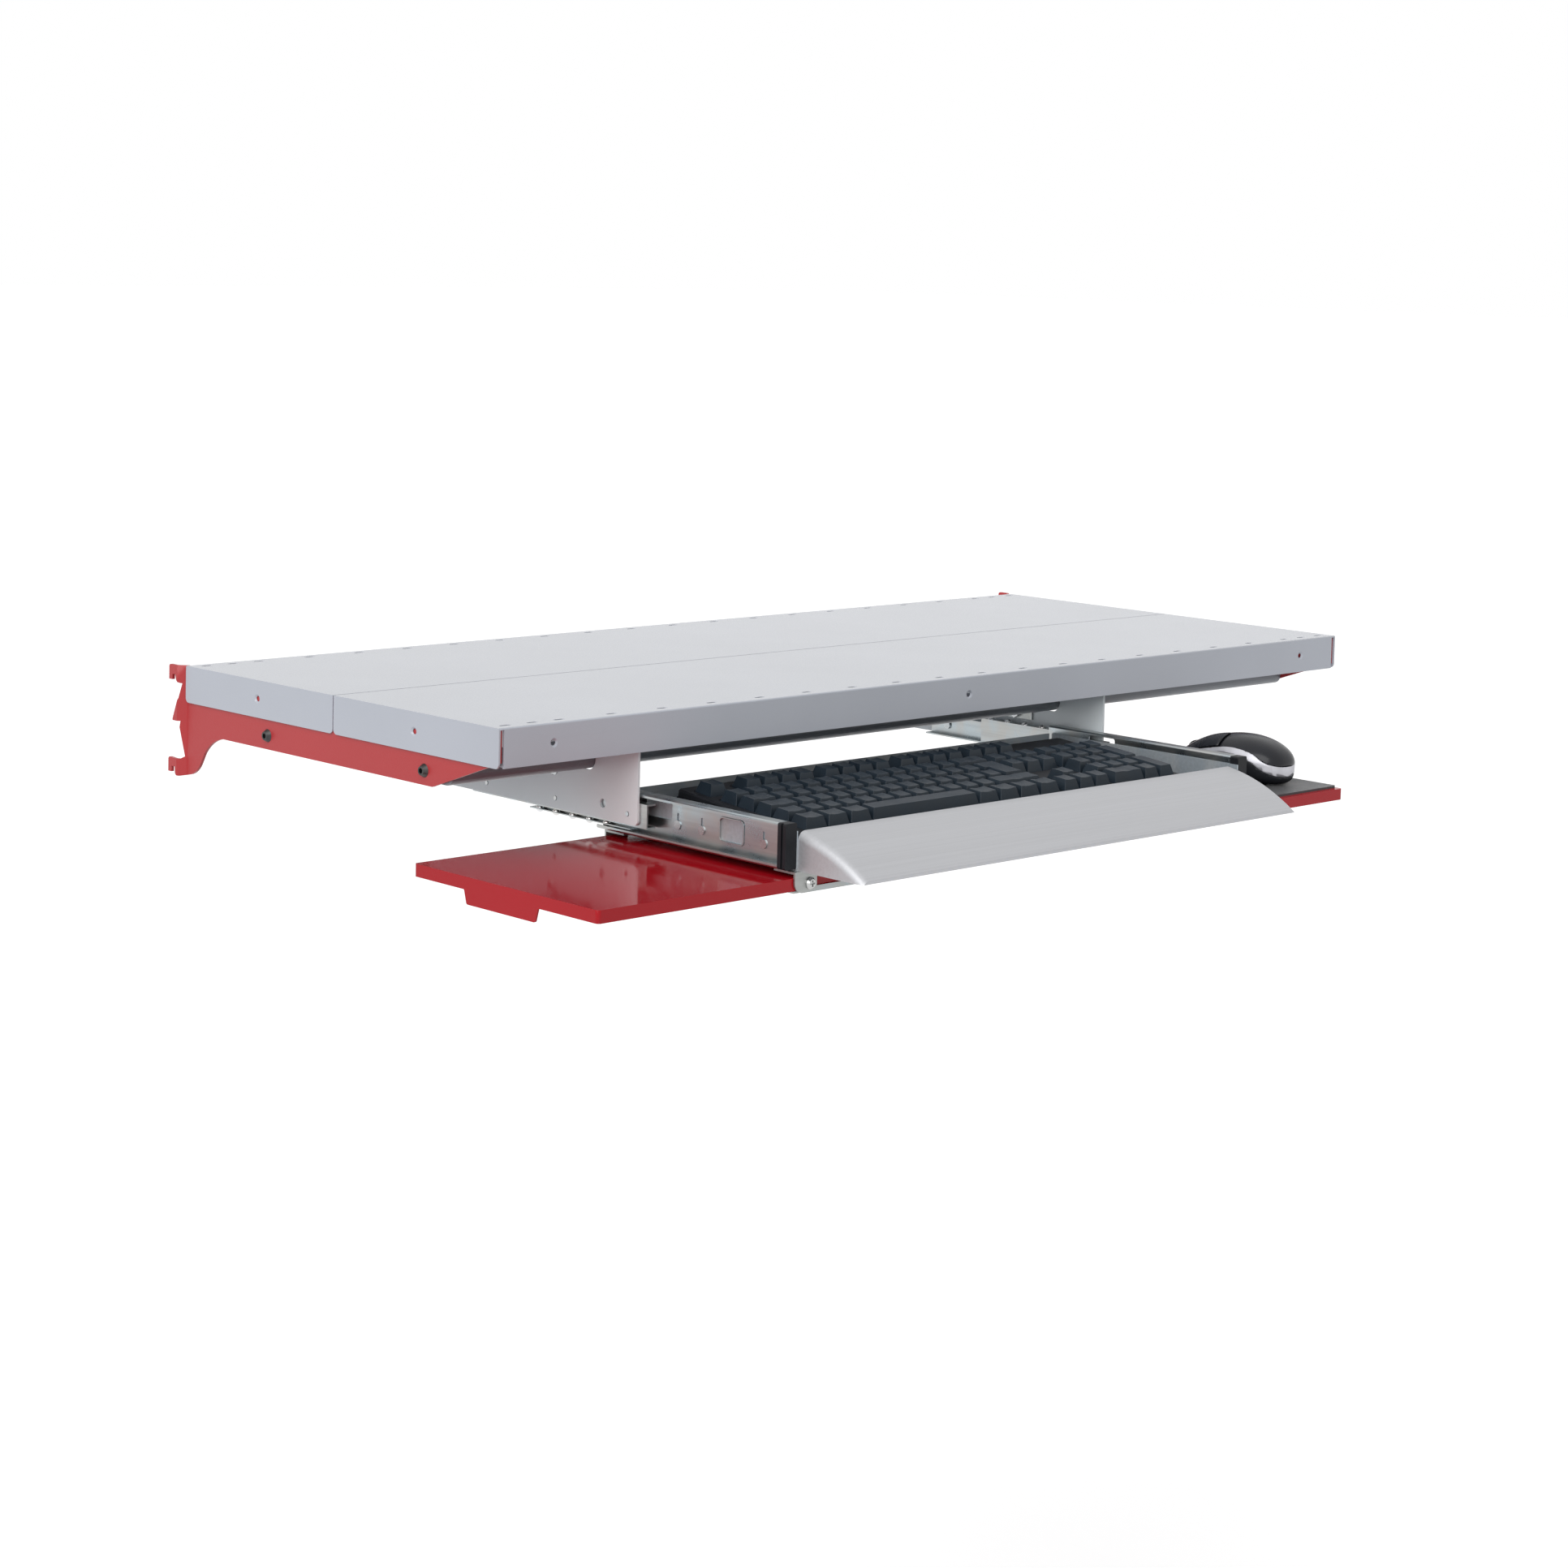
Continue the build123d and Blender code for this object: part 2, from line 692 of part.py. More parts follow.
def end_block():
    """Left plastic block that closes the moving rail's front end."""
    x0 = hanger_left + hanger_sheet + rail_mouth_gap
    x1 = hanger_left + hanger_sheet + rail_width
    half = rail_height / 2
    z = -rail_axis_drop
    body = block(x0, x1, pan_y0, tray_rail_y0, z - half, z + half)
    body = fillet(body.edges().filter_by(Axis.Y), 1.6)
    tongue_half = half - rail_sheet - rail_lip - 1
    tongue_y1 = tray_rail_y0 + block_tongue
    tongue = block(x0 + 3.5, x1 - rail_sheet - 2 * fit, tray_rail_y0, tongue_y1, z - tongue_half, z + tongue_half)
    groove_y0 = pan_y0 + block_groove_lead
    groove_x1 = x0 + block_groove_depth
    groove = block(x0 - 1, groove_x1, groove_y0, groove_y0 + block_groove, z - half - 1, z + half + 1)
    return body + tongue - groove


def palm_arc(drop, reach_cut):
    """Three points of the palm rest's upper curve, lowered by drop at both ends."""
    back = (pan_y0 - reach_cut, pan_top - drop)
    tip = (pan_y0 - palm_reach + reach_cut, guide_top() + palm_tip_lip - drop)
    middle_y = (back[0] + tip[0]) / 2
    middle_z = (back[1] + tip[1]) / 2 + palm_rise
    return back, (middle_y, middle_z), tip


def guide_top():
    """Height of the pan's underside, where the guides begin."""
    return pan_bottom


def palm_skin(inset):
    """Solid inside the palm rest's surface, moved inwards by inset, with its ends bent round."""
    x0 = hanger_offset - pan_half + palm_inset + inset
    x1 = hanger_offset - pan_half + palm_inset + palm_width - inset
    back, middle, tip = palm_arc(inset, inset)
    low = guide_top() - palm_bend * 2
    with BuildSketch() as profile:
        with BuildLine():
            ThreePointArc(back, middle, tip)
            Polyline(tip, (tip[0], low), (back[0], low), back)
        make_face()
    solid = side_plate(profile.sketch, x0, x1)
    ends = solid.edges().filter_by(GeomType.CIRCLE)
    return fillet(ends, palm_bend - inset)


def palm_rest():
    """Curved aluminium palm rest: a bowed skin with a rear leg and ends bent down."""
    skin = palm_skin(0) - palm_skin(palm_sheet)
    reach = palm_reach * 2
    low = guide_top()
    return skin & block(-shelf_width, shelf_width, pan_y0 - reach, pan_y0 + reach, low, pan_top + palm_reach)


def plate_guide():
    """Front guide: a folded strip under the pan whose lip carries the mouse plate's flange."""
    x0 = hanger_offset - guide_half
    x1 = hanger_offset + guide_half
    top = guide_top()
    web_in = plate_y0 - guide_clearance
    web_out = web_in - guide_sheet
    guide = block(x0, x1, web_out, web_out + guide_shelf, top - guide_sheet, top)
    guide += block(x0, x1, web_out, web_in, guide_bottom, top)
    guide += block(x0, x1, web_out, web_out + guide_lip, guide_bottom, guide_bottom + guide_sheet)
    lower = guide.edges().filter_by(Axis.Y).group_by(Axis.Z)[0]
    guide = fillet(lower, guide_sheet * 0.45)
    cut_z = guide_bottom + guide_strip
    window = block(x0 + guide_ear, x1 - guide_ear, web_out - 1, web_in + 0.001, cut_z, top - guide_sheet)
    guide -= window
    for side in (-1, 1):
        x = hanger_offset + side * guide_half
        corner = block(x, x - side * 8, web_out - 1, web_in + 0.2, guide_bottom - 1, guide_bottom + 8)
        keep = rod_y(8, web_out - 2, web_in + 1, x - side * 8, guide_bottom + 8)
        guide -= corner - keep
        guide -= rod_y(guide_screw_d / 2 + fit, web_out - 1, web_in + 1, x - side * guide_ear_screw, lock_z())
    for x in guide_screw_places():
        guide -= rod_z(guide_screw_d / 2 + fit, top - 3, top + 1, x, guide_screw_rows()[0])
    return guide


def lock_z():
    """Height of the front guide's two end screws, midway down the plate's flange."""
    return plate_top - plate_flange / 2


def guide_end_screw(side):
    """Cross-head screw in an end of the front guide, short of the plate that slides behind it."""
    web_out = plate_y0 - guide_clearance - guide_sheet
    x = hanger_offset + side * (guide_half - guide_ear_screw)
    z = lock_z()
    shaft = rod_y(guide_screw_d / 2 - screw_slack, web_out, web_out + guide_sheet, x, z)
    head = pan_head((x, web_out, z), (0, -1, 0), guide_head_d, guide_head_h)
    face = web_out - guide_head_h
    cross = block(x - 2.4, x + 2.4, face, face + 1.3, z - 0.6, z + 0.6)
    cross += block(x - 0.6, x + 0.6, face, face + 1.3, z - 2.4, z + 2.4)
    return shaft + head - cross


def guide_floor_screw(x, y):
    """Low screw from inside the pan down through a guide."""
    low = guide_top() - guide_sheet - 1.0
    shaft = rod_z(guide_screw_d / 2 - screw_slack, low, floor_top, x, y)
    head = rod_z(guide_head_d / 2, floor_top, floor_top + 0.9, x, y)
    return shaft + head


def mouse_plate():
    """Long plate that slides sideways in the guides: flanges all round, a drop tab at each end."""
    x0 = plate_x - plate_width / 2
    x1 = plate_x + plate_width / 2
    z0 = plate_top - plate_flange
    plate = block(x0, x1, plate_y0, plate_y1, z0, plate_top)
    plate = fillet(plate.edges().filter_by(Axis.Z), plate_corner_radius)
    t = plate_sheet
    inner = block(x0 + t, x1 - t, plate_y0 + t, plate_y1 - t, z0 - 1, plate_top - t)
    plate -= fillet(inner.edges().filter_by(Axis.Z), plate_corner_radius - t)
    tab_y = (plate_y0 + plate_y1) / 2 + plate_tab_offset
    tab_z = z0 - plate_tab_drop
    for side, x in ((-1, x0), (1, x1)):
        with BuildSketch() as outline:
            with BuildLine():
                half = plate_tab_width / 2
                FilletPolyline(
                    (tab_y - half - 6, z0 + 1),
                    (tab_y - half - 3, z0),
                    (tab_y - half, tab_z),
                    (tab_y + half, tab_z),
                    (tab_y + half + 3, z0),
                    (tab_y + half + 6, z0 + 1),
                    radius=2.0,
                )
                Line((tab_y + half + 6, z0 + 1), (tab_y - half - 6, z0 + 1))
            make_face()
        plate += side_plate(outline.sketch, x, x - side * t)
    return plate


def keyboard_frame(shape):
    """Place a shape drawn level, with the key field's front left corner at 0, into the tilted keyboard."""
    x = hanger_offset + keyboard_offset - key_columns() * key_pitch / 2
    y = pan_y0 + key_front_lead
    z = floor_top + keyboard_foot + keyboard_front_height
    return Pos(x, y, z) * Rot(key_tilt, 0, 0) * shape


def key_columns():
    """Width of the key field in key widths: letters, middle block and number pad with their gaps."""
    return 15 + 0.25 + 3 + 0.25 + 4


def key_rows():
    """Depth of the key field in key widths."""
    return 5 + function_gap + 1


def key(column, row, width=1.0, depth=1.0):
    """One keycap: a tapered block with a slightly dished top."""
    x = (column + width / 2) * key_pitch
    y = (row + depth / 2) * key_pitch
    skirt_w = width * key_pitch - (key_pitch - key_skirt)
    skirt_d = depth * key_pitch - (key_pitch - key_skirt)
    shrink = key_skirt - key_top
    low = Pos(x, y, -key_sink) * Rectangle(skirt_w, skirt_d)
    high = Pos(x, y + 0.6, key_height - key_sink) * Rectangle(skirt_w - shrink, skirt_d - shrink)
    cap = loft([low, high])
    dish_r = 36.0
    dish_z = key_height - key_sink + dish_r - 0.5
    if width < 3 and depth == 1:
        dish = Pos(x, y + 0.6, dish_z) * Rot(90, 0, 0) * Cylinder(dish_r, skirt_d)
        cap -= dish
    half = key_stem / 2
    low_z = -keyboard_deck - key_stem_engage
    for stem_x in stem_places(column, width):
        cap += block(stem_x - half, stem_x + half, y - half, y + half, low_z, -key_sink)
    return cap


def stem_places(column, width):
    """X of a key's stems: one in the middle, and one near each end of a long key."""
    middle = (column + width / 2) * key_pitch
    if width < 3:
        return [middle]
    reach = (width / 2 - 1) * key_pitch
    return [middle - reach, middle, middle + reach]


def stem_guides():
    """Square pockets in the keyboard's deck that the key stems slide in."""
    half = key_stem / 2 + key_stem_gap
    low_z = -keyboard_deck - key_stem_engage - key_travel - key_stem_gap
    pockets = []
    for keys in key_layout().values():
        for column, row, width, depth in keys:
            y = (row + depth / 2) * key_pitch
            for x in stem_places(column, width):
                pockets.append(block(x - half, x + half, y - half, y + half, low_z, 0))
    return pockets


def key_layout():
    """Every group of keys: name, then (column, row, width, depth) of each key."""
    middle = 15.25
    pad = 18.5
    top_row = 5 + function_gap
    letters = [(1.25 + i, 1, 1, 1) for i in range(11)]
    letters += [(1.75 + i, 2, 1, 1) for i in range(12)]
    letters += [(1.5 + i, 3, 1, 1) for i in range(12)]
    pad_keys = [(pad + i, row, 1, 1) for row in (1, 2, 3) for i in range(3)]
    pad_keys += [(pad + i, 4, 1, 1) for i in range(4)] + [(pad + 2, 0, 1, 1)]
    cursor = [(middle + i, row, 1, 1) for row in (0, 3, 4, top_row) for i in range(3)]
    return {
        "function_keys": [(2 + i + 0.5 * (i // 4), top_row, 1, 1) for i in range(12)],
        "number_keys": [(i, 4, 1, 1) for i in range(13)],
        "letter_keys": letters,
        "modifier_keys": [(i, 0, 1.25, 1) for i in (1.25, 2.5, 10, 11.25, 12.5)],
        "cursor_keys": cursor + [(middle + 1, 1, 1, 1)],
        "number_pad_keys": pad_keys,
        "escape_key": [(0, top_row, 1, 1)],
        "backspace_key": [(13, 4, 2, 1)],
        "tab_key": [(0, 3, 1.5, 1)],
        "caps_lock_key": [(0, 2, 1.75, 1)],
        "enter_key": [(13.75, 2, 1.25, 2), (13.5, 3, 1.5, 1)],
        "left_shift_key": [(0, 1, 1.25, 1)],
        "right_shift_key": [(12.25, 1, 2.75, 1)],
        "left_control_key": [(0, 0, 1.25, 1)],
        "right_control_key": [(13.75, 0, 1.25, 1)],
        "space_bar": [(3.75, 0, 6.25, 1)],
        "pad_zero_key": [(pad, 0, 2, 1)],
        "pad_enter_key": [(pad + 3, 0, 1, 2)],
        "pad_plus_key": [(pad + 3, 2, 1, 2)],
    }


def keyboard_case():
    """Top shell with openings for the key blocks, and the base with its deck and feet."""
    width = key_columns() * key_pitch
    depth = key_rows() * key_pitch
    x0 = -keyboard_side
    x1 = width + keyboard_side
    y0 = -keyboard_front
    y1 = depth + keyboard_back
    top = block(x0, x1, y0, y1, -keyboard_deck, 0)
    top = fillet(top.edges().filter_by(Axis.Z), 5)
    rim = top.edges().group_by(Axis.Z)[-1]
    top = chamfer(rim, 1.2)
    room = block(x0 + keyboard_shell, x1 - keyboard_shell, y0 + keyboard_shell, y1 - keyboard_shell, -20, -keyboard_shell)
    top -= room
    for column, row, columns, rows in key_blocks():
        bx0 = column * key_pitch - key_gap
        bx1 = (column + columns) * key_pitch + key_gap
        by0 = row * key_pitch - key_gap
        by1 = (row + rows) * key_pitch + key_gap
        top -= block(bx0, bx1, by0, by1, -keyboard_shell - 1, 1)
    top = keyboard_frame(top)
    base = block(x0 + 0.6, x1 - 0.6, y0 + 0.6, y1 - 0.6, -60, -keyboard_deck)
    base = keyboard_frame(base - stem_guides())
    low = floor_top + keyboard_foot
    base &= block(-1000, 1000, -1000, 0, low, 0)
    return top, base


def key_blocks():
    """Openings of the top shell: (column, row, columns, rows)."""
    top_row = 5 + function_gap
    return [
        (0, 0, 15, 5),
        (15.25, 0, 3, 1),
        (16.25, 1, 1, 1),
        (15.25, 3, 3, 2),
        (18.5, 0, 4, 5),
        (0, top_row, 1, 1),
        (2, top_row, 4, 1),
        (6.5, top_row, 4, 1),
        (11, top_row, 4, 1),
        (15.25, top_row, 3, 1),
    ]


def keyboard_feet(base):
    """Four round rubber pads between the base and the pan's floor."""
    box = base.bounding_box()
    pads = []
    for x in (box.min.X + 20, box.max.X - 20):
        for y in (box.min.Y + 12, box.max.Y - 14):
            pads.append(rod_z(keyboard_foot_d / 2, floor_top, floor_top + keyboard_foot, x, y))
    return group(pads)


def mat():
    """Thin mouse mat near the right end of the plate."""
    x1 = plate_x + plate_width / 2 - mat_edge
    y0 = plate_y0 + mat_edge + 4
    sheet = block(x1 - mat_width, x1, y0, y0 + mat_depth, plate_top, plate_top + mat_thickness)
    return fillet(sheet.edges().filter_by(Axis.Z), 3)


def mouse_place():
    """Centre line, palm end and underside of the mouse."""
    x = plate_x + plate_width / 2 - mat_edge - mouse_side_gap
    y0 = plate_y0 + mouse_front_gap
    return x, y0, plate_top + mat_thickness + mouse_foot


def mouse_section(y, half, low, high):
    """Cross-section of the mouse at y: flat underside, bulging sides and a domed top."""
    x, y0, z0 = mouse_place()
    rise = high - low
    with BuildSketch(Plane((x, y, z0 + low), x_dir=(1, 0, 0), z_dir=(0, -1, 0))) as section:
        with BuildLine():
            side = Spline(
                (half * 0.62, 0),
                (half * 0.93, rise * 0.12),
                (half, rise * 0.36),
                (half * 0.90, rise * 0.70),
                (half * 0.55, rise * 0.93),
                (0, rise),
                tangents=[(1, 0.1), (-1, 0)],
            )
            mirror(side, about=Plane.YZ)
            Line((-half * 0.62, 0), (half * 0.62, 0))
        make_face()
    return section.sketch


def mouse_body():
    """Whole outer form of the mouse, lofted from the palm end to the nose."""
    x, y0, z0 = mouse_place()
    half = mouse_width / 2
    top = mouse_height - mouse_foot
    nose = mouse_nose_height
    length = mouse_length
    sections = [
        mouse_section(y0, half * 0.28, 7.0, top * 0.50),
        mouse_section(y0 + length * 0.035, half * 0.50, 3.5, top * 0.72),
        mouse_section(y0 + length * 0.125, half * 0.76, 0, top * 0.89),
        mouse_section(y0 + length * 0.29, half * 0.95, 0, top * 0.985),
        mouse_section(y0 + length * 0.46, half, 0, top),
        mouse_section(y0 + length * 0.65, half * 0.95, 0, top * 0.90),
        mouse_section(y0 + length * 0.82, half * 0.90, 0, (top * 0.58 + nose * 0.42)),
        mouse_section(y0 + length * 0.95, half * 0.80, 1.0, (top * 0.24 + nose * 0.76)),
        mouse_section(y0 + length, half * 0.62, 4.0, nose),
    ]
    room = block(x - mouse_width, x + mouse_width, y0 - length, y0 + length * 2, z0, z0 + top * 2)
    return loft(sections) & room


def band_curve(share):
    """Points of the S-curve at this share of the band's thickness."""
    x, y0, z0 = mouse_place()
    palm_end = y0 - 3
    nose_end = y0 + mouse_length + 3
    rise = share * mouse_band
    return [
        (palm_end, z0 + 6 + rise),
        (y0 + 9, z0 + 12 + rise * 0.85),
        (y0 + 22, z0 + 20.5 + rise * 0.72),
        (y0 + 45, z0 + 25 + rise * 0.52),
        (y0 + 72, z0 + 21.5 + rise * 0.40),
        (y0 + 97, z0 + 15.5 + rise * 0.33),
        (nose_end, z0 + 13 + rise * 0.33),
    ]


def below_curve(share):
    """Everything under the dividing curve."""
    x, y0, z0 = mouse_place()
    points = band_curve(share)
    with BuildSketch() as sketch:
        with BuildLine():
            curve = Spline(*points)
            Polyline(curve @ 1, (points[-1][0], z0 - 5), (points[0][0], z0 - 5), curve @ 0)
        make_face()
    w = mouse_width
    return side_plate(sketch.sketch, x - w, x + w)


def mouse_parts():
    """Base, band, cover, two buttons, wheel with its axle, and the feet."""
    x, y0, z0 = mouse_place()
    y1 = y0 + mouse_length
    body = mouse_body()
    low = below_curve(0)
    high = below_curve(1)
    base = body & low
    band = (body & high) - low
    cover = body - high
    button_y = y1 - mouse_button_length
    gap = mouse_part_gap
    top = z0 + mouse_height
    front = block(x - 60, x + 60, button_y, y1 + 5, z0, top)
    wheel_y = y1 - wheel_behind_nose
    wheel_z = z0 + wheel_centre_height
    well_x = wheel_width / 2 + 1
    well_y = wheel_d / 2 + 1.5
    well = block(x - well_x, x + well_x, wheel_y - well_y, wheel_y + well_y, z0 + 2, top)
    strip_x = well_x - gap
    strip = block(x - strip_x, x + strip_x, button_y - 1, y1 + 5, z0, top)
    between = block(x - well_x, x + well_x, button_y - 1, y1 + 5, z0, top)
    slit = block(x - 60, x + 60, button_y, button_y + gap, z0, top)
    lift = Pos(0, 0, gap) * below_curve(1)
    lid = (cover & front) - between - slit - lift
    halves = lid.solids().sort_by(Axis.X)
    cover = cover - (front - strip) - well
    base -= well
    band -= well
    wheel = rod_x(wheel_d / 2, x - wheel_width / 2, x + wheel_width / 2, wheel_y, wheel_z)
    wheel = chamfer(wheel.edges().filter_by(GeomType.CIRCLE), 1.5)
    wheel += rod_x(wheel_axle_d / 2, x - wheel_width / 2 - 3, x + wheel_width / 2 + 3, wheel_y, wheel_z)
    bearing = rod_x(wheel_axle_d / 2 + 0.1, x - wheel_width / 2 - 4, x + wheel_width / 2 + 4, wheel_y, wheel_z)
    base -= bearing
    band -= bearing
    return {
        "mouse_base": base,
        "mouse_band": band,
        "mouse_cover": cover,
        "mouse_left_button": halves[0],
        "mouse_right_button": halves[-1],
        "mouse_wheel": wheel,
        "mouse_feet": mouse_feet(),
    }


def mouse_feet():
    """Low-friction pads under the mouse."""
    x, y0, z0 = mouse_place()
    pads = []
    for dx in (-14, 14):
        for y in (y0 + 18, y0 + mouse_length - 22):
            pads.append(rod_z(mouse_foot_d / 2, z0 - mouse_foot, z0, x + dx, y))
    return group(pads)


def write(name, shape):
    """One STEP file for a node."""
    shape.label = name
    export_step(shape, os.path.join("parts", name + ".step"))


def build():
    """Make every node."""
    os.makedirs("parts", exist_ok=True)
    nodes = {}
    front_panel = bench_panel()
    nodes["shelf_front_panel"] = front_panel
    nodes["shelf_rear_panel"] = mirror_y(front_panel, shelf_front + shelf_depth / 2)
    left_bracket = bracket()
    nodes["left_bracket"] = left_bracket
    nodes["right_bracket"] = mirror_x(left_bracket)
    beams = (front_beam_y, rear_beam_y)
    screws = [bracket_screw(y) for y in beams]
    nodes["bracket_screws"] = group(screws + [mirror_x(screw) for screw in screws])
    nodes["front_beam"] = beam(front_beam_y)
    nodes["rear_beam"] = beam(rear_beam_y)

    left_hanger = hanger()
    nodes["left_hanger"] = left_hanger
    nodes["right_hanger"] = mirror_x(left_hanger, hanger_offset)
    for name, make in (("beam_clamps", clamp), ("clamp_screws", clamp_screw), ("clamp_nuts", clamp_nut)):
        left = [make(y) for y in beams]
        nodes[name] = group(left + [mirror_x(shape, hanger_offset) for shape in left])

    rail_screws = [fixed_rail_screw(y) for y in rail_screw_places(rail_y0)]
    nodes["fixed_rail_screws"] = group(rail_screws + [mirror_x(s, hanger_offset) for s in rail_screws])
    tray_screws = [tray_screw(y) for y in tray_screw_places()]
    nodes["tray_screws"] = group(tray_screws + [mirror_x(s, hanger_offset) for s in tray_screws])
    pairs = {
        "fixed_rail": fixed_rail(),
        "moving_rail": moving_rail(),
        "ball_cage": ball_cage(),
        "rail_balls": balls(),
        "rail_end_block": end_block(),
    }
    for name, shape in pairs.items():
        nodes["left_" + name] = shape
        nodes["right_" + name] = mirror_x(shape, hanger_offset)

    nodes["tray_pan"] = tray_pan()
    nodes["palm_rest"] = palm_rest()
    front_guide = plate_guide()
    nodes["front_plate_guide"] = front_guide
    nodes["rear_plate_guide"] = mirror_y(front_guide, (plate_y0 + plate_y1) / 2)
    guide_screws = [guide_end_screw(side) for side in (-1, 1)]
    guide_screws += [guide_floor_screw(x, y) for x in guide_screw_places() for y in guide_screw_rows()]
    nodes["guide_screws"] = group(guide_screws)
    nodes["mouse_plate"] = mouse_plate()

    case_top, case_base = keyboard_case()
    nodes["keyboard_top"] = case_top
    nodes["keyboard_base"] = case_base
    nodes["keyboard_feet"] = keyboard_feet(case_base)
    for name, keys in key_layout().items():
        nodes[name] = group([keyboard_frame(key(*place)) for place in keys])
    enter_halves = nodes["enter_key"].solids()
    nodes["enter_key"] = enter_halves[0] + enter_halves[1]

    nodes["mouse_mat"] = mat()
    nodes.update(mouse_parts())
    for name, shape in nodes.items():
        write(name, shape)
    print(len(nodes), "nodes")


build()
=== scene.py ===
# %% [markdown]
# The sliding keyboard shelf, dressed for its picture.
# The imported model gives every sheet, rail, screw and key at its real size and place, in metres.
# This lesson adds what a camera sees on top of that: rolled edges, powder coat, zinc,
# brushed aluminium, moulded plastic, a floor, soft light and the camera.

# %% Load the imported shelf
from math import radians, sqrt

import bmesh
import bpy
from mathutils import Matrix, Vector


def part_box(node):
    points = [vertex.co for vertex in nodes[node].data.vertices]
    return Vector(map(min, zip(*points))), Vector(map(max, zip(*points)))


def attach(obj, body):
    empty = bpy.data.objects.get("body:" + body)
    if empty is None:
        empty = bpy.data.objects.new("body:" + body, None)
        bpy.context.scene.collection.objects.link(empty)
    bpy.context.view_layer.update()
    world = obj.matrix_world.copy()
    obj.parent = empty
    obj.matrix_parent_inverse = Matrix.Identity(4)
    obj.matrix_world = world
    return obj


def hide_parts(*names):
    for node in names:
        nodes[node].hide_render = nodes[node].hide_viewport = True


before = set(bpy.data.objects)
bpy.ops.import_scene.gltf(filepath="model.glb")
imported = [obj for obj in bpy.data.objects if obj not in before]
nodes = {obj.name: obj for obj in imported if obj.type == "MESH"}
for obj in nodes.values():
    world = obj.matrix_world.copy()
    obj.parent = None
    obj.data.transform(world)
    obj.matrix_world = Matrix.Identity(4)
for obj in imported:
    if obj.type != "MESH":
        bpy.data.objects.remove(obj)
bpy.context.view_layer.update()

# %% [markdown]
# Materials are node trees, and a few helpers keep each tree short enough to read. One fills
# a socket or links it, one adds a node, one mixes two colours, one does a sum, and two turn
# one range of numbers into another. A noise rarely leaves the range from 0.3 to 0.7, so
# vary() starts from there.

# %% Node helpers
NOISE_RANGE = (0.3, 0.7)
COLOUR_MIX_INPUTS = (0, 6, 7)
COLOUR_MIX_RESULT = 2


def fill(tree, socket, value):
    """Give a socket a number or a colour, or link another node's output to it."""
    if isinstance(value, bpy.types.NodeSocket):
        tree.links.new(value, socket)
    else:
        socket.default_value = value


def add(tree, kind, settings=None, **sockets):
    """Add one node with its settings, and fill the sockets that are named."""
    node = tree.nodes.new(kind)
    for name, value in (settings or {}).items():
        setattr(node, name, value)
    for name, value in sockets.items():
        fill(tree, node.inputs[name.replace("_", " ")], value)
    return node


def mix(tree, factor, low, high, blend="MIX"):
    """Mix two colours and return the result's socket."""
    node = add(tree, "ShaderNodeMix", {"data_type": "RGBA", "blend_type": blend})
    for index, value in zip(COLOUR_MIX_INPUTS, (factor, low, high)):
        fill(tree, node.inputs[index], value)
    return node.outputs[COLOUR_MIX_RESULT]


def maths(tree, operation, first, second):
    """Do one sum and return the result's socket."""
    node = add(tree, "ShaderNodeMath", {"operation": operation})
    fill(tree, node.inputs[0], first)
    fill(tree, node.inputs[1], second)
    return node.outputs[0]


def span(tree, value, low, high, to_low, to_high):
    """Map a value from one range to another and return the result's socket."""
    return add(tree, "ShaderNodeMapRange", Value=value, From_Min=low, From_Max=high,
               To_Min=to_low, To_Max=to_high).outputs["Result"]


def vary(tree, noise_value, low, high):
    """Spread a noise's usual range over these two values."""
    return span(tree, noise_value, *NOISE_RANGE, low, high)


print("node helpers for noise from", *NOISE_RANGE)

# %% [markdown]
# A finish is a node group, built once and placed in many materials. It opens with named
# sockets and closes the same way every time: a colour times a slowly drifting tone, a
# roughness plus a small change, and a normal from a Bump node. Textures are read at Object
# coordinates, in metres, so the grain keeps its real size on a large piece and a small one.

# %% Group helpers
def open_group(name, inputs):
    """A shader group with the named inputs, and with a colour, a roughness and a normal out."""
    group = bpy.data.node_groups.new(name, "ShaderNodeTree")
    for socket, kind, value in inputs:
        made = group.interface.new_socket(socket, in_out="INPUT", socket_type="NodeSocket" + kind)
        made.default_value = value
    for socket, kind in (("Colour", "Color"), ("Roughness", "Float"), ("Normal", "Vector")):
        group.interface.new_socket(socket, in_out="OUTPUT", socket_type="NodeSocket" + kind)
    return group, group.nodes.new("NodeGroupInput").outputs


def object_point(tree):
    """The point of the surface in the piece's own metres."""
    return add(tree, "ShaderNodeTexCoord").outputs["Object"]


def stretched(tree, point, scale):
    """The point scaled along each axis, which stretches a texture that is read there."""
    return add(tree, "ShaderNodeMapping", Vector=point, Scale=scale).outputs[0]


def noise(tree, point, scale, detail, **more):
    """The value of a noise texture at a point."""
    return add(tree, "ShaderNodeTexNoise", Vector=point, Scale=scale, Detail=detail, **more).outputs[0]


def close_group(group, given, colour, tone, change, bump):
    """Give out the colour times a tone, the roughness plus a change, and the bump's normal."""
    end = group.nodes.new("NodeGroupOutput").inputs
    group.links.new(mix(group, 1.0, colour, tone, "MULTIPLY"), end["Colour"])
    group.links.new(maths(group, "ADD", given["Roughness"], change), end["Roughness"])
    group.links.new(bump.outputs[0], end["Normal"])
    print("group", group.name, "nodes", len(group.nodes))


# %% [markdown]
# Powder coat is baked paint. It flows out like the skin of an orange, a millimetre or two
# from dimple to dimple and a few microns deep, and its tone drifts a little over a large
# sheet. A slow noise and a very fine one drive the colour, and a middle one drives the bump.

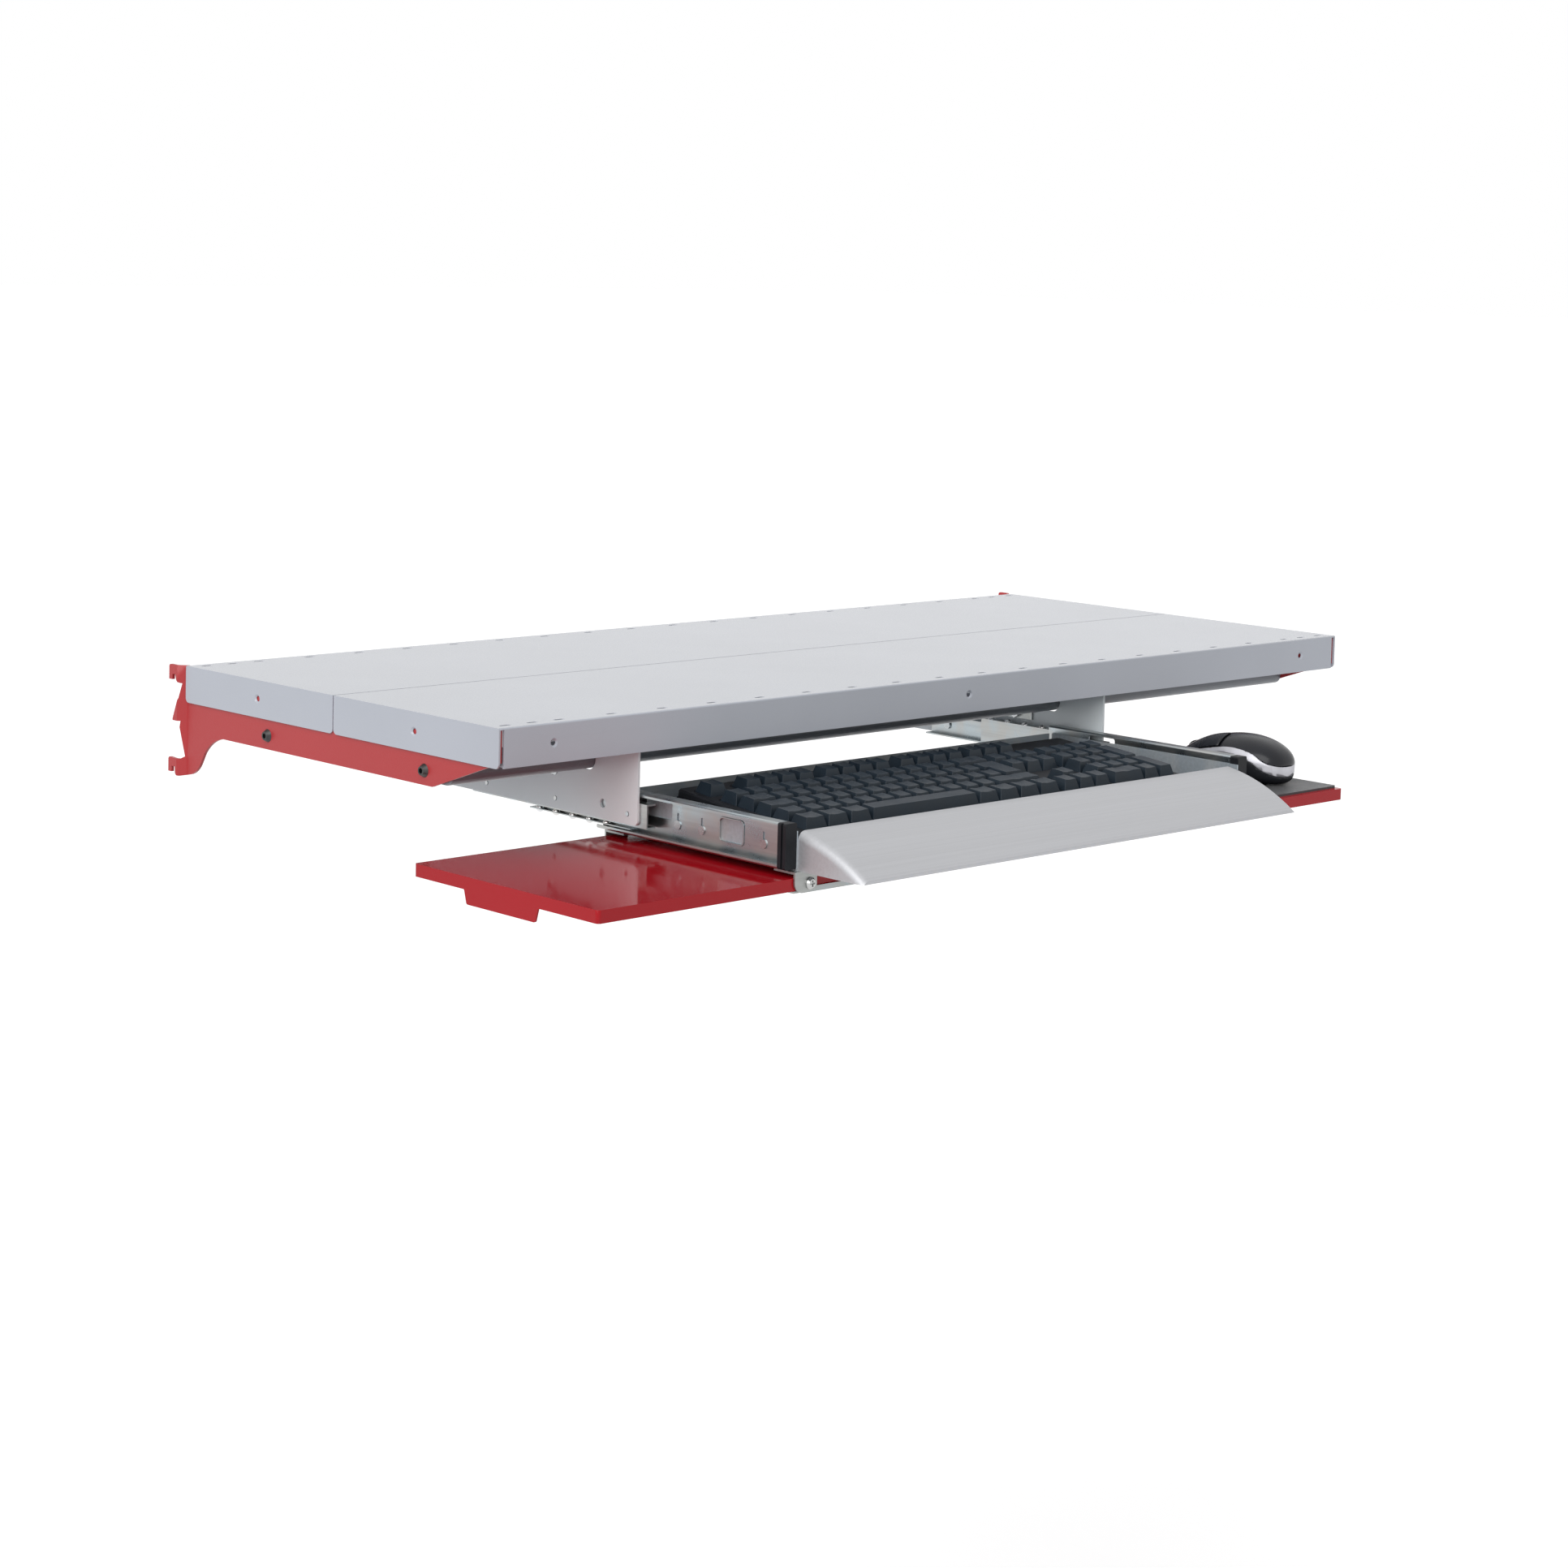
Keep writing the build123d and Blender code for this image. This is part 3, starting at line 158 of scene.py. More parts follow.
# %% Powder coat group
coat, given = open_group("powder coat", (
    ("Colour", "Color", (0.6, 0.6, 0.6, 1)), ("Roughness", "Float", 0.4),
    ("Peel size", "Float", 700.0), ("Peel depth", "Float", 0.05)))
point = object_point(coat)
drift = noise(coat, point, scale=7.0, detail=3.0)
peel = noise(coat, point, scale=given["Peel size"], detail=2.0)
speck = noise(coat, point, scale=2600.0, detail=1.0)
tone = maths(coat, "MULTIPLY", vary(coat, drift, 0.965, 1.03), vary(coat, speck, 0.985, 1.015))
bump = add(coat, "ShaderNodeBump", Height=peel, Strength=given["Peel depth"], Distance=0.0006)
close_group(coat, given, given["Colour"], tone, vary(coat, peel, -0.04, 0.04), bump)

# %% [markdown]
# Bright zinc plating on rolled steel keeps the mill's long streaks. Over them lie clouds of
# a bluish and a straw tint from the bath. Streaks are noise squeezed along one axis by a
# Mapping node, and the clouds come from a second, slower noise.

# %% Zinc group
plating, given = open_group("zinc plating", (
    ("Cool", "Color", (0.44, 0.49, 0.52, 1)), ("Warm", "Color", (0.50, 0.51, 0.50, 1)),
    ("Roughness", "Float", 0.3), ("Streaks", "Vector", (400.0, 12.0, 400.0))))
point = object_point(plating)
streak = noise(plating, stretched(plating, point, given["Streaks"]), scale=1.0, detail=4.0)
cloud = noise(plating, point, scale=38.0, detail=4.0, Distortion=0.6)
tint = span(plating, cloud, 0.38, 0.62, 0.0, 1.0)
plated = mix(plating, tint, given["Cool"], given["Warm"])
lined = vary(plating, streak, 0.90, 1.06)
bump = add(plating, "ShaderNodeBump", Height=streak, Strength=0.03, Distance=0.0002)
close_group(plating, given, plated, lined, vary(plating, cloud, -0.06, 0.08), bump)

# %% [markdown]
# The palm rest is aluminium brushed along its length and anodised. The belt leaves hairlines
# a few tenths of a millimetre apart, so the noise is stretched six hundred to one, and a
# second, coarser set gives the longer scratches that catch the light.

# %% Brushed group
TWO_NOISES = (0.7, 1.3)
brushed, given = open_group("brushed lines", (
    ("Colour", "Color", (0.7, 0.7, 0.72, 1)), ("Roughness", "Float", 0.35),
    ("Lines", "Vector", (4.0, 2400.0, 2400.0)), ("Depth", "Float", 0.12)))
point = stretched(brushed, object_point(brushed), given["Lines"])
hair = noise(brushed, point, scale=1.0, detail=3.0)
scratch = noise(brushed, point, scale=0.22, detail=2.0)
both = maths(brushed, "ADD", hair, scratch)
tone = span(brushed, both, *TWO_NOISES, 0.93, 1.05)
change = span(brushed, both, *TWO_NOISES, -0.05, 0.06)
bump = add(brushed, "ShaderNodeBump", Height=both, Strength=given["Depth"], Distance=0.0002)
close_group(brushed, given, given["Colour"], tone, change, bump)

# %% [markdown]
# Moulded plastic takes the spark-eroded texture of its mould: tiny rounded pits with a
# slightly shinier film on top. One group serves the keys, the case, the rubber and the mat,
# because only the size of the pits, their depth and the colours differ.

# %% Moulded plastic group
mould, given = open_group("moulded grain", (
    ("Colour", "Color", (0.03, 0.03, 0.035, 1)), ("Roughness", "Float", 0.45),
    ("Pit size", "Float", 1500.0), ("Pit depth", "Float", 0.15)))
point = object_point(mould)
pits = add(mould, "ShaderNodeTexVoronoi", {"feature": "SMOOTH_F1"}, Vector=point,
           Scale=given["Pit size"]).outputs["Distance"]
flow = noise(mould, point, scale=55.0, detail=4.0)
bump = add(mould, "ShaderNodeBump", Height=pits, Strength=given["Pit depth"], Distance=0.0003)
close_group(mould, given, given["Colour"], vary(mould, flow, 0.86, 1.16),
            vary(mould, flow, -0.06, 0.06), bump)

# %% [markdown]
# A material is then one group and one Principled BSDF. Numbers that are the same all over
# the surface, such as the metallic or the coat weight, are set on the shader itself. Streaks
# run along the rails by default, across them on sheets rolled the other way, and nowhere in
# particular on small parts that were plated loose in a drum.

# %% Materials
ROLLED_ACROSS = (12.0, 400.0, 400.0)
PLATED_LOOSE = (900.0, 900.0, 900.0)


def finish(name, group, group_values, **shader_values):
    """A material from one finish group and the shader's own constant values."""
    material = bpy.data.materials.new(name)
    material.use_nodes = True
    tree = material.node_tree
    shader = tree.nodes["Principled BSDF"]
    for socket, value in shader_values.items():
        shader.inputs[socket.replace("_", " ")].default_value = value
    skin = add(tree, "ShaderNodeGroup", {"node_tree": group})
    for socket, value in group_values.items():
        skin.inputs[socket].default_value = value
    for source, target in (("Colour", "Base Color"), ("Roughness", "Roughness"), ("Normal", "Normal")):
        tree.links.new(skin.outputs[source], shader.inputs[target])
    return material


shelf_grey = finish("shelf grey powder coat", coat,
                    {"Colour": (0.475, 0.500, 0.560, 1), "Roughness": 0.18, "Peel size": 750.0,
                     "Peel depth": 0.10}, Specular_IOR_Level=0.75)
bracket_red = finish("bracket red powder coat", coat,
                     {"Colour": (0.46, 0.030, 0.034, 1), "Roughness": 0.36, "Peel depth": 0.10})
plate_red = finish("glossy red powder coat", coat,
                   {"Colour": (0.45, 0.005, 0.012, 1), "Roughness": 0.09, "Peel size": 420.0,
                    "Peel depth": 0.008}, Specular_IOR_Level=0.22)
hanger_grey = finish("hanger grey powder coat", coat,
                     {"Colour": (0.80, 0.85, 0.87, 1), "Roughness": 0.38, "Peel depth": 0.12})
beam_pale = finish("pale beam powder coat", coat,
                   {"Colour": (0.60, 0.59, 0.565, 1), "Roughness": 0.42, "Peel depth": 0.12})
# The front beam's coat is the pale beam coat darkened: painted shade, for the shade under the shelf's
# front edge.
beam_painted_shade = finish("beam powder coat darkened as painted shade", coat,
                   {"Colour": (0.20, 0.215, 0.24, 1), "Roughness": 0.36, "Peel depth": 0.12})
zinc = finish("bright zinc plating", plating,
              {"Cool": (0.40, 0.45, 0.475, 1), "Warm": (0.46, 0.465, 0.455, 1),
               "Roughness": 0.30}, Metallic=1.0)
zinc_pan = finish("dull zinc sheet", plating,
                  {"Cool": (0.42, 0.47, 0.51, 1), "Warm": (0.45, 0.475, 0.49, 1),
                   "Roughness": 0.46, "Streaks": ROLLED_ACROSS}, Metallic=0.5)
zinc_across = finish("zinc plated cross pieces", plating,
                     {"Cool": (0.33, 0.37, 0.39, 1), "Warm": (0.38, 0.39, 0.38, 1),
                      "Roughness": 0.34, "Streaks": ROLLED_ACROSS}, Metallic=0.9)
zinc_screw = finish("zinc plated screws", plating,
                    {"Cool": (0.44, 0.47, 0.49, 1), "Warm": (0.50, 0.505, 0.50, 1),
                     "Roughness": 0.24, "Streaks": PLATED_LOOSE}, Metallic=1.0)
dark_screw = finish("blackened screws", plating,
                    {"Cool": (0.055, 0.056, 0.060, 1), "Warm": (0.085, 0.082, 0.078, 1),
                     "Roughness": 0.34, "Streaks": PLATED_LOOSE}, Metallic=0.9)
ball_steel = finish("polished ball steel", plating,
                    {"Cool": (0.72, 0.73, 0.75, 1), "Warm": (0.76, 0.75, 0.73, 1),
                     "Roughness": 0.12, "Streaks": (300.0, 300.0, 300.0)}, Metallic=1.0)
palm_aluminium = finish("brushed aluminium", brushed,
                        {"Colour": (0.52, 0.525, 0.545, 1), "Roughness": 0.46}, Metallic=0.6)
black_plastic = finish("black moulded plastic", mould,
                       {"Colour": (0.012, 0.013, 0.016, 1), "Roughness": 0.46},
                       Specular_IOR_Level=0.2)
key_plastic = finish("key plastic", mould,
                     {"Colour": (0.011, 0.020, 0.030, 1), "Roughness": 0.42, "Pit size": 2200.0,
                      "Pit depth": 0.10}, Specular_IOR_Level=0.35)
gloss_black = finish("glossy black lacquer", mould,
                     {"Colour": (0.009, 0.010, 0.014, 1), "Roughness": 0.26, "Pit depth": 0.01},
                     Specular_IOR_Level=0.28, Coat_Weight=0.12, Coat_Roughness=0.08)
silver_plastic = finish("silver lacquer", mould,
                        {"Colour": (0.56, 0.56, 0.60, 1), "Roughness": 0.36, "Pit depth": 0.0},
                        Metallic=0.4, Coat_Weight=0.2, Coat_Roughness=0.12)
rubber = finish("black rubber", mould,
                {"Colour": (0.018, 0.018, 0.019, 1), "Roughness": 0.62, "Pit size": 1100.0,
                 "Pit depth": 0.35})
mat_grey = finish("mouse mat cloth", mould,
                  {"Colour": (0.022, 0.024, 0.028, 1), "Roughness": 0.42, "Pit size": 1900.0,
                   "Pit depth": 0.5}, Sheen_Weight=0.25, Sheen_Roughness=0.4)
print("materials", len(bpy.data.materials))

# %% [markdown]
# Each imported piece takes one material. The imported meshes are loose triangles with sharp
# corners, and no real sheet or moulding has those: folded steel, plastic and zinc all catch a
# line of light at an edge. A Weld modifier joins the triangles, and a Bevel limited by angle
# then rounds only the real edges, without touching the mesh that the model is checked by.

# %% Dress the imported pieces
KEY_GROUPS = ["function_keys", "number_keys", "letter_keys", "modifier_keys", "cursor_keys",
              "number_pad_keys"]
SINGLE_KEYS = ["escape_key", "backspace_key", "tab_key", "caps_lock_key", "enter_key",
               "left_shift_key", "right_shift_key", "left_control_key", "right_control_key",
               "space_bar", "pad_zero_key", "pad_enter_key", "pad_plus_key"]
DRESS = (
    (shelf_grey, "shelf_grey", 0.0009, ["shelf_front_panel", "shelf_rear_panel"]),
    (bracket_red, "bracket_red", 0.0003, ["left_bracket", "right_bracket"]),
    (plate_red, "plate_red", 0.0004, ["mouse_plate"]),
    (hanger_grey, "hanger_grey", 0.0002, ["left_hanger", "right_hanger"]),
    (beam_pale, "beam_pale", 0.0, ["front_beam", "rear_beam"]),
    (zinc, "zinc", 0.0, ["left_fixed_rail", "right_fixed_rail", "left_moving_rail",
                         "right_moving_rail", "left_ball_cage", "right_ball_cage"]),
    (zinc_pan, "zinc", 0.0, ["tray_pan"]),
    (zinc_across, "zinc", 0.0, ["front_plate_guide", "rear_plate_guide", "beam_clamps"]),
    (zinc_screw, "zinc", 0.0, ["clamp_screws", "clamp_nuts", "fixed_rail_screws",
                               "tray_screws", "guide_screws"]),
    (dark_screw, "dark_screw", 0.0, ["bracket_screws"]),
    (ball_steel, "ball_steel", 0.0, ["left_rail_balls", "right_rail_balls"]),
    (palm_aluminium, "palm_aluminium", 0.0002, ["palm_rest"]),
    (black_plastic, "black_plastic", 0.0004, ["left_rail_end_block", "right_rail_end_block",
                                              "keyboard_top", "keyboard_base"]),
    (key_plastic, "key_plastic", 0.0004, KEY_GROUPS + SINGLE_KEYS),
    (gloss_black, "gloss_black", 0.0002, ["mouse_base", "mouse_cover", "mouse_left_button",
                                          "mouse_right_button"]),
    (silver_plastic, "silver_plastic", 0.0002, ["mouse_band"]),
    (rubber, "rubber", 0.0, ["mouse_wheel", "keyboard_feet", "mouse_feet"]),
    (mat_grey, "mat_grey", 0.0, ["mouse_mat"]),
)
SAME_POINT = 1e-6
EDGE_ANGLE = radians(32)


def round_edges(piece, width):
    """Weld the triangles that share points and round the sharp edges by this many metres."""
    weld = piece.modifiers.new("weld", "WELD")
    weld.merge_threshold = SAME_POINT
    bevel = piece.modifiers.new("edges", "BEVEL")
    bevel.width = width
    bevel.segments = 2
    bevel.limit_method = "ANGLE"
    bevel.angle_limit = EDGE_ANGLE
    bevel.use_clamp_overlap = True
    bevel.harden_normals = False


for material, slot, edge_width, names in DRESS:
    for name in names:
        piece = nodes[name]
        piece.data.materials.clear()
        piece.data.materials.append(material)
        if edge_width:
            round_edges(piece, edge_width)
print("dressed", sum(len(names) for *_, names in DRESS))

# %% [markdown]
# New pieces start as a box or a grid from a bmesh operator, and are rounded, inset and
# thickened from there. Four helpers serve them: one makes a box between two corners, one
# rounds the edges that run along an axis, one turns a left-hand shape into the right-hand
# one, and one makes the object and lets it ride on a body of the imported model, so that it
# moves with the shelf or the tray.

# %% Piece helpers
MM = 0.001
ALONG_AXIS = 0.99
PAN_MIDDLE = -88.0


def box_between(shape, low, high):
    """Add a box between two corners given in millimetres."""
    made = bmesh.ops.create_cube(shape, size=1.0)["verts"]
    size = [(b - a) * MM for a, b in zip(low, high)]
    middle = [(a + b) / 2 * MM for a, b in zip(low, high)]
    bmesh.ops.scale(shape, verts=made, vec=size)
    bmesh.ops.translate(shape, verts=made, vec=middle)


def round_along(shape, axis, radius, chosen, segments=6):
    """Round the edges along one axis whose middle, in millimetres, passes the test."""
    edges = []
    for edge in shape.edges:
        first, second = (vert.co for vert in edge.verts)
        along = abs((second - first).normalized()[axis]) > ALONG_AXIS
        if along and chosen((first + second) / 2 / MM):
            edges.append(edge)
    bmesh.ops.bevel(shape, geom=edges, offset=radius * MM, offset_type="OFFSET",
                    segments=segments, profile=0.5, affect="EDGES", material=-1)


def mirrored(shape):
    """Turn a left-hand shape into the right-hand one across the tray's middle."""
    bmesh.ops.scale(shape, verts=shape.verts, vec=(-1, 1, 1))
    bmesh.ops.translate(shape, verts=shape.verts, vec=(2 * PAN_MIDDLE * MM, 0, 0))


def place(name, shape, material, body, stands_for=()):
    """Make the object, let it ride on a body, and let it stand for the named CAD nodes."""
    bmesh.ops.remove_doubles(shape, verts=shape.verts, dist=SAME_POINT)
    bmesh.ops.recalc_face_normals(shape, faces=shape.faces)
    mesh = bpy.data.meshes.new(name)
    shape.to_mesh(mesh)
    shape.free()
    mesh.materials.append(material)
    piece = bpy.data.objects.new(name, mesh)
    bpy.context.scene.collection.objects.link(piece)
    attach(piece, body)
    if stands_for:
        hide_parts(*stands_for)
    print(name, "faces", len(mesh.polygons), "on", body)
    return piece


# %% [markdown]
# The front beam is a deep tube that fills the hooks' openings in both hangers. Its coat is
# painted shade: the real beam is pale like the rear one, and is darkened here to the band of
# shade under the shelf's edge. The imported tube is shallower and ends further back, so a
# deeper one with a full round at its lower front edge stands for it.

# %% Front beam
BEAM_END = 495.8
BEAM_FRONT, BEAM_REAR = -357.0, -310.3
BEAM_BOTTOM, BEAM_TOP = -51.2, -35.5
BEAM_ROUNDS = ((7.5, BEAM_FRONT, BEAM_BOTTOM), (1.5, BEAM_FRONT, BEAM_TOP),
               (2.5, BEAM_REAR, BEAM_BOTTOM))
NEAR = 0.01
beam = bmesh.new()
box_between(beam, (-BEAM_END, BEAM_FRONT, BEAM_BOTTOM), (BEAM_END, BEAM_REAR, BEAM_TOP))
for radius, y, z in BEAM_ROUNDS:
    round_along(beam, 0, radius, lambda at: abs(at.y - y) < NEAR and abs(at.z - z) < NEAR)
# The tube takes the darkened coat, painted shade for the shade under the shelf.
place("front_beam_tube", beam, beam_painted_shade, "shelf", ["front_beam"])

# %% [markdown]
# Each rail has an opening, through which the pan's plain wall shows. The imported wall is
# notched there, so a plate of the same sheet closes each notch, flush with the wall.

# %% Pan walls
NOTCH = ((-343.3, -432.0, -81.0), (-342.1, -403.0, -69.3))
NOTCH_MIDDLE = -75.0
NOTCH_CORNER = 1.9
for side in ("left", "right"):
    plate = bmesh.new()
    box_between(plate, *NOTCH)
    round_along(plate, 0, NOTCH_CORNER, lambda at: at.z < NOTCH_MIDDLE, segments=4)
    if side == "right":
        mirrored(plate)
    place(side + "_pan_wall", plate, zinc_pan, "tray")

# %% [markdown]
# The window punched in each moving rail has a raised rim, which stiffens the web and catches
# a thin line of light. A flat grid gets rounded corners, an inset leaves the frame, and
# bmesh's solidify gives it the height of a pressing. The frame is made lying flat, so its
# axes are turned to stand it up against the rail's web.

# %% Window rims
WINDOW_MIDDLE = (-344.5, -497.5, -79.5)
WINDOW_SIZE = (27.4, 19.4, 1.0)
WINDOW_CORNER = 4.0
RIM_WIDTH = 1.3
RIM_HEIGHT = 0.7
RIM_EDGE = 0.00025
STAND_UP = Matrix(((0, 0, 1), (1, 0, 0), (0, 1, 0)))
for side in ("left", "right"):
    rim = bmesh.new()
    bmesh.ops.create_grid(rim, x_segments=1, y_segments=1, size=0.5 * MM)
    bmesh.ops.scale(rim, verts=rim.verts, vec=WINDOW_SIZE)
    bmesh.ops.bevel(rim, geom=rim.verts[:], offset=WINDOW_CORNER * MM, offset_type="OFFSET",
                    segments=6, profile=0.5, affect="VERTICES", material=-1)
    inset = bmesh.ops.inset_region(rim, faces=rim.faces[:], thickness=RIM_WIDTH * MM,
                                   use_boundary=True, use_even_offset=True)
    inner = [face for face in rim.faces if face not in inset["faces"]]
    bmesh.ops.delete(rim, geom=inner, context="FACES")
    bmesh.ops.rotate(rim, verts=rim.verts, matrix=STAND_UP)
    bmesh.ops.recalc_face_normals(rim, faces=rim.faces)
    bmesh.ops.solidify(rim, geom=rim.faces[:], thickness=RIM_HEIGHT * MM)
    against_web = Vector(WINDOW_MIDDLE) * MM
    against_web.x -= max(vert.co.x for vert in rim.verts)
    bmesh.ops.translate(rim, verts=rim.verts, vec=against_web)
    if side == "right":
        mirrored(rim)
    piece = place(side + "_window_rim", rim, zinc, "tray")
    round_edges(piece, RIM_EDGE)

# %% [markdown]
# The mouse is a smooth pebble: a blunt palm end, a crest at two fifths of its length and a
# nose that falls away in front of the wheel. A finely divided box blown up to a ball has even
# faces everywhere, so each of its points is moved from the ball to this form, and the form's
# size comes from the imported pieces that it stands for. The poles are the heights at which
# the form is widest, as shares of its height.

# %% Mouse form
base_low, base_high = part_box("mouse_base")
MOUSE_X = (base_low.x + base_high.x) / 2
MOUSE_LENGTH = base_high.y - base_low.y
MOUSE_HALF_WIDTH = (base_high.x - base_low.x) / 2
MOUSE_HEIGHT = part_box("mouse_cover")[1].z - base_low.z
CREST_AT = 0.40
PALM_POLE, NOSE_POLE = 0.45, 0.22
PALM_WIDTH_ROUND, PALM_TOP_ROUND = 2.4, 2.0
NOSE_WIDTH_ROUND, NOSE_TOP_ROUND = 7.0, 5.0
NOSE_TAPER = 0.12
NOSE_SLOPE, NOSE_DOME = 0.7, 0.3
FLOOR_ROUND = 7.0
SIDE_ABOVE, SIDE_BELOW = 0.85, 0.6
CUTS = 31


def bulge(share, power):
    """How full a rounded form still is at this share of the way to its end."""
    return max(0.0, 1 - share ** power) ** (1 / power)


def mouse_section(along):
    """Half width, lowest, widest and highest height at this share of the length."""
    if along < CREST_AT:
        share = (CREST_AT - along) / CREST_AT
        width = bulge(share, PALM_WIDTH_ROUND)
        rise = bulge(share, PALM_TOP_ROUND)
    else:
        share = (along - CREST_AT) / (1 - CREST_AT)
        width = (1 - NOSE_TAPER * share * share) * bulge(share, NOSE_WIDTH_ROUND)
        rise = NOSE_SLOPE * (1 - share * share) + NOSE_DOME * bulge(share, NOSE_TOP_ROUND)
    pole = PALM_POLE + (NOSE_POLE - PALM_POLE) * along
    low = pole * (1 - bulge(share, FLOOR_ROUND))
    return width * MOUSE_HALF_WIDTH, low, pole, pole + (1 - pole) * rise


def signed_power(value, power):
    """Raise a coordinate to a power and keep its sign."""
    return abs(value) ** power * (1 if value >= 0 else -1)


def mouse_form():
    """The whole outer form of the mouse as a closed bmesh."""
    shape = bmesh.new()
    bmesh.ops.create_cube(shape, size=2.0)
    bmesh.ops.subdivide_edges(shape, edges=shape.edges[:], cuts=CUTS, use_grid_fill=True)
    for vert in shape.verts:
        across, ahead, up = vert.co.normalized()
        ring = max(sqrt(max(0.0, 1 - ahead * ahead)), 1e-9)
        along = (1 + ahead) / 2
        width, low, pole, high = mouse_section(along)
        side, rise = across / ring, up / ring
        if rise >= 0:
            z = pole + (high - pole) * rise
            x = width * signed_power(side, SIDE_ABOVE)
        else:
            z = pole - (pole - low) * abs(rise) ** SIDE_BELOW
            x = width * signed_power(side, SIDE_BELOW)
        vert.co = (MOUSE_X + x, base_low.y + along * MOUSE_LENGTH, base_low.z + z * MOUSE_HEIGHT)
    for face in shape.faces:
        face.smooth = True
    return shape


print("mouse length", round(MOUSE_LENGTH, 4), "half width", round(MOUSE_HALF_WIDTH, 4),
      "height", round(MOUSE_HEIGHT, 4))

# %% [markdown]
# A silver band runs round the mouse in a long S and parts the lid from the base. Its two
# edges are smooth curves through a few points, each with a distance from the palm end and
# the two edges' heights. Bisect only cuts along a plane, so the form is first bent until the
# S is straight, cut there, and bent back.

# %% Mouse band
BAND_CURVE = ((-3, 6.0, 15.0), (9, 12.0, 19.65), (22, 20.5, 26.98), (45, 25.0, 29.68),
              (72, 21.5, 25.1), (97, 15.5, 18.47), (111, 13.0, 16.0))
LOWER_EDGE, UPPER_EDGE = 1, 2
ON_PLANE = 1e-7


def band_slope(index, edge):
    """Slope of the band's edge at one of its points, from the points on both sides."""
    before = BAND_CURVE[max(0, index - 1)]
    after = BAND_CURVE[min(len(BAND_CURVE) - 1, index + 1)]
    return (after[edge] - before[edge]) / (after[0] - before[0])


def band_height(from_palm, edge):
    """Height of one edge of the band in metres, on a smooth curve through its points."""
    at = min(max(from_palm / MM, BAND_CURVE[0][0]), BAND_CURVE[-1][0])
    index = max(i for i, point in enumerate(BAND_CURVE[:-1]) if point[0] <= at)
    first, second = BAND_CURVE[index], BAND_CURVE[index + 1]
    run = second[0] - first[0]
    share = (at - first[0]) / run
    back = 1 - share
    height = first[edge] * (1 + 2 * share) * back ** 2
    height += second[edge] * (1 + 2 * back) * share ** 2
    turn = band_slope(index, edge) * back - band_slope(index + 1, edge) * share
    return (height + run * share * back * turn) * MM


def cut(shape, point, normal, **clear):
    """Bisect the whole shape by a plane and close nothing."""
    bmesh.ops.bisect_plane(shape, geom=shape.verts[:] + shape.edges[:] + shape.faces[:],
                           dist=ON_PLANE, plane_co=point, plane_no=normal, **clear)


def bend(shape, edge, lift, way):
    """Lower (-1) or raise (1) every point by the height of the band's edge below it."""
    for vert in shape.verts:
        vert.co.z += way * (base_low.z + band_height(vert.co.y - base_low.y, edge) + lift)


def cut_along_band(shape, edge, keep_above, lift=0.0):
    """Keep what lies above or below one edge of the band."""
    bend(shape, edge, lift, -1)
    cut(shape, (0, 0, 0), (0, 0, 1), clear_inner=keep_above, clear_outer=not keep_above)
    bend(shape, edge, lift, 1)


print("band through", len(BAND_CURVE), "points")

# %% [markdown]
# The base, the band, the lid and the two buttons are each cut from the same form, so their
# outsides run on from one to the next. The lid loses the buttons and the wheel's well, and
# each button keeps a thin gap to its neighbours, in which it can be pressed. A Solidify
# modifier then gives every part its moulded wall.

# %% Mouse parts
BUTTON_BACK = 56.0
STRIP_HALF = 6.9
BUTTON_INNER = 7.5
WELL_HALF = 13.5
PART_GAP = 0.6
MOUSE_WALL = 0.0012
SLIVER = 0.00025


def mouse_piece(name, shape, material, body, stands_for):
    """Place one mouse part and give it its wall."""
    bmesh.ops.remove_doubles(shape, verts=shape.verts, dist=SLIVER)
    piece = place(name, shape, material, body, stands_for)
    wall = piece.modifiers.new("wall", "SOLIDIFY")
    wall.thickness = MOUSE_WALL
    wall.offset = -1.0


low_shell = mouse_form()
cut_along_band(low_shell, LOWER_EDGE, keep_above=False)
mouse_piece("mouse_low_shell", low_shell, black_plastic, "mouse", ["mouse_base"])
band = mouse_form()
cut_along_band(band, LOWER_EDGE, keep_above=True)
cut_along_band(band, UPPER_EDGE, keep_above=False)
mouse_piece("mouse_side_band", band, silver_plastic, "mouse", ["mouse_band"])

lid = mouse_form()
cut_along_band(lid, UPPER_EDGE, keep_above=True)
button_y = base_low.y + BUTTON_BACK * MM
wheel_low, wheel_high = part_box("mouse_wheel")
wheel_y = (wheel_low.y + wheel_high.y) / 2
for x in (-BUTTON_INNER, -STRIP_HALF, STRIP_HALF, BUTTON_INNER):
    cut(lid, (MOUSE_X + x * MM, 0, 0), (1, 0, 0))
for y in (button_y, wheel_y - WELL_HALF * MM, wheel_y + WELL_HALF * MM):
    cut(lid, (0, y, 0), (0, 1, 0))
opened = []
for face in lid.faces:
    at = face.calc_center_median()
    beside = abs(at.x - MOUSE_X) / MM
    if at.y > button_y and (beside > STRIP_HALF or abs(at.y - wheel_y) < WELL_HALF * MM):
        opened.append(face)
bmesh.ops.delete(lid, geom=opened, context="FACES")
mouse_piece("mouse_lid", lid, gloss_black, "mouse", ["mouse_cover"])

for side, way in (("left", -1), ("right", 1)):
    button = mouse_form()
    cut_along_band(button, UPPER_EDGE, keep_above=True, lift=PART_GAP * MM)
    cut(button, (MOUSE_X + way * BUTTON_INNER * MM, 0, 0), (way, 0, 0), clear_inner=True)
    cut(button, (0, button_y + PART_GAP * MM, 0), (0, 1, 0), clear_inner=True)
    mouse_piece("mouse_" + side + "_key", button, gloss_black, side + "_button",
                ["mouse_" + side + "_button"])

# %% [markdown]
# The studio is a pale floor that runs to the horizon under a white sky. The object hangs
# with nothing round it, so the floor lies well below it and takes its soft shadow. The camera
# and mirrors see both brighter than the light that bounces off them, so the picture's ground
# is white and the steel isn't washed out. From underneath the floor is clear, so that the
# rails and clamps can be looked at from there too.

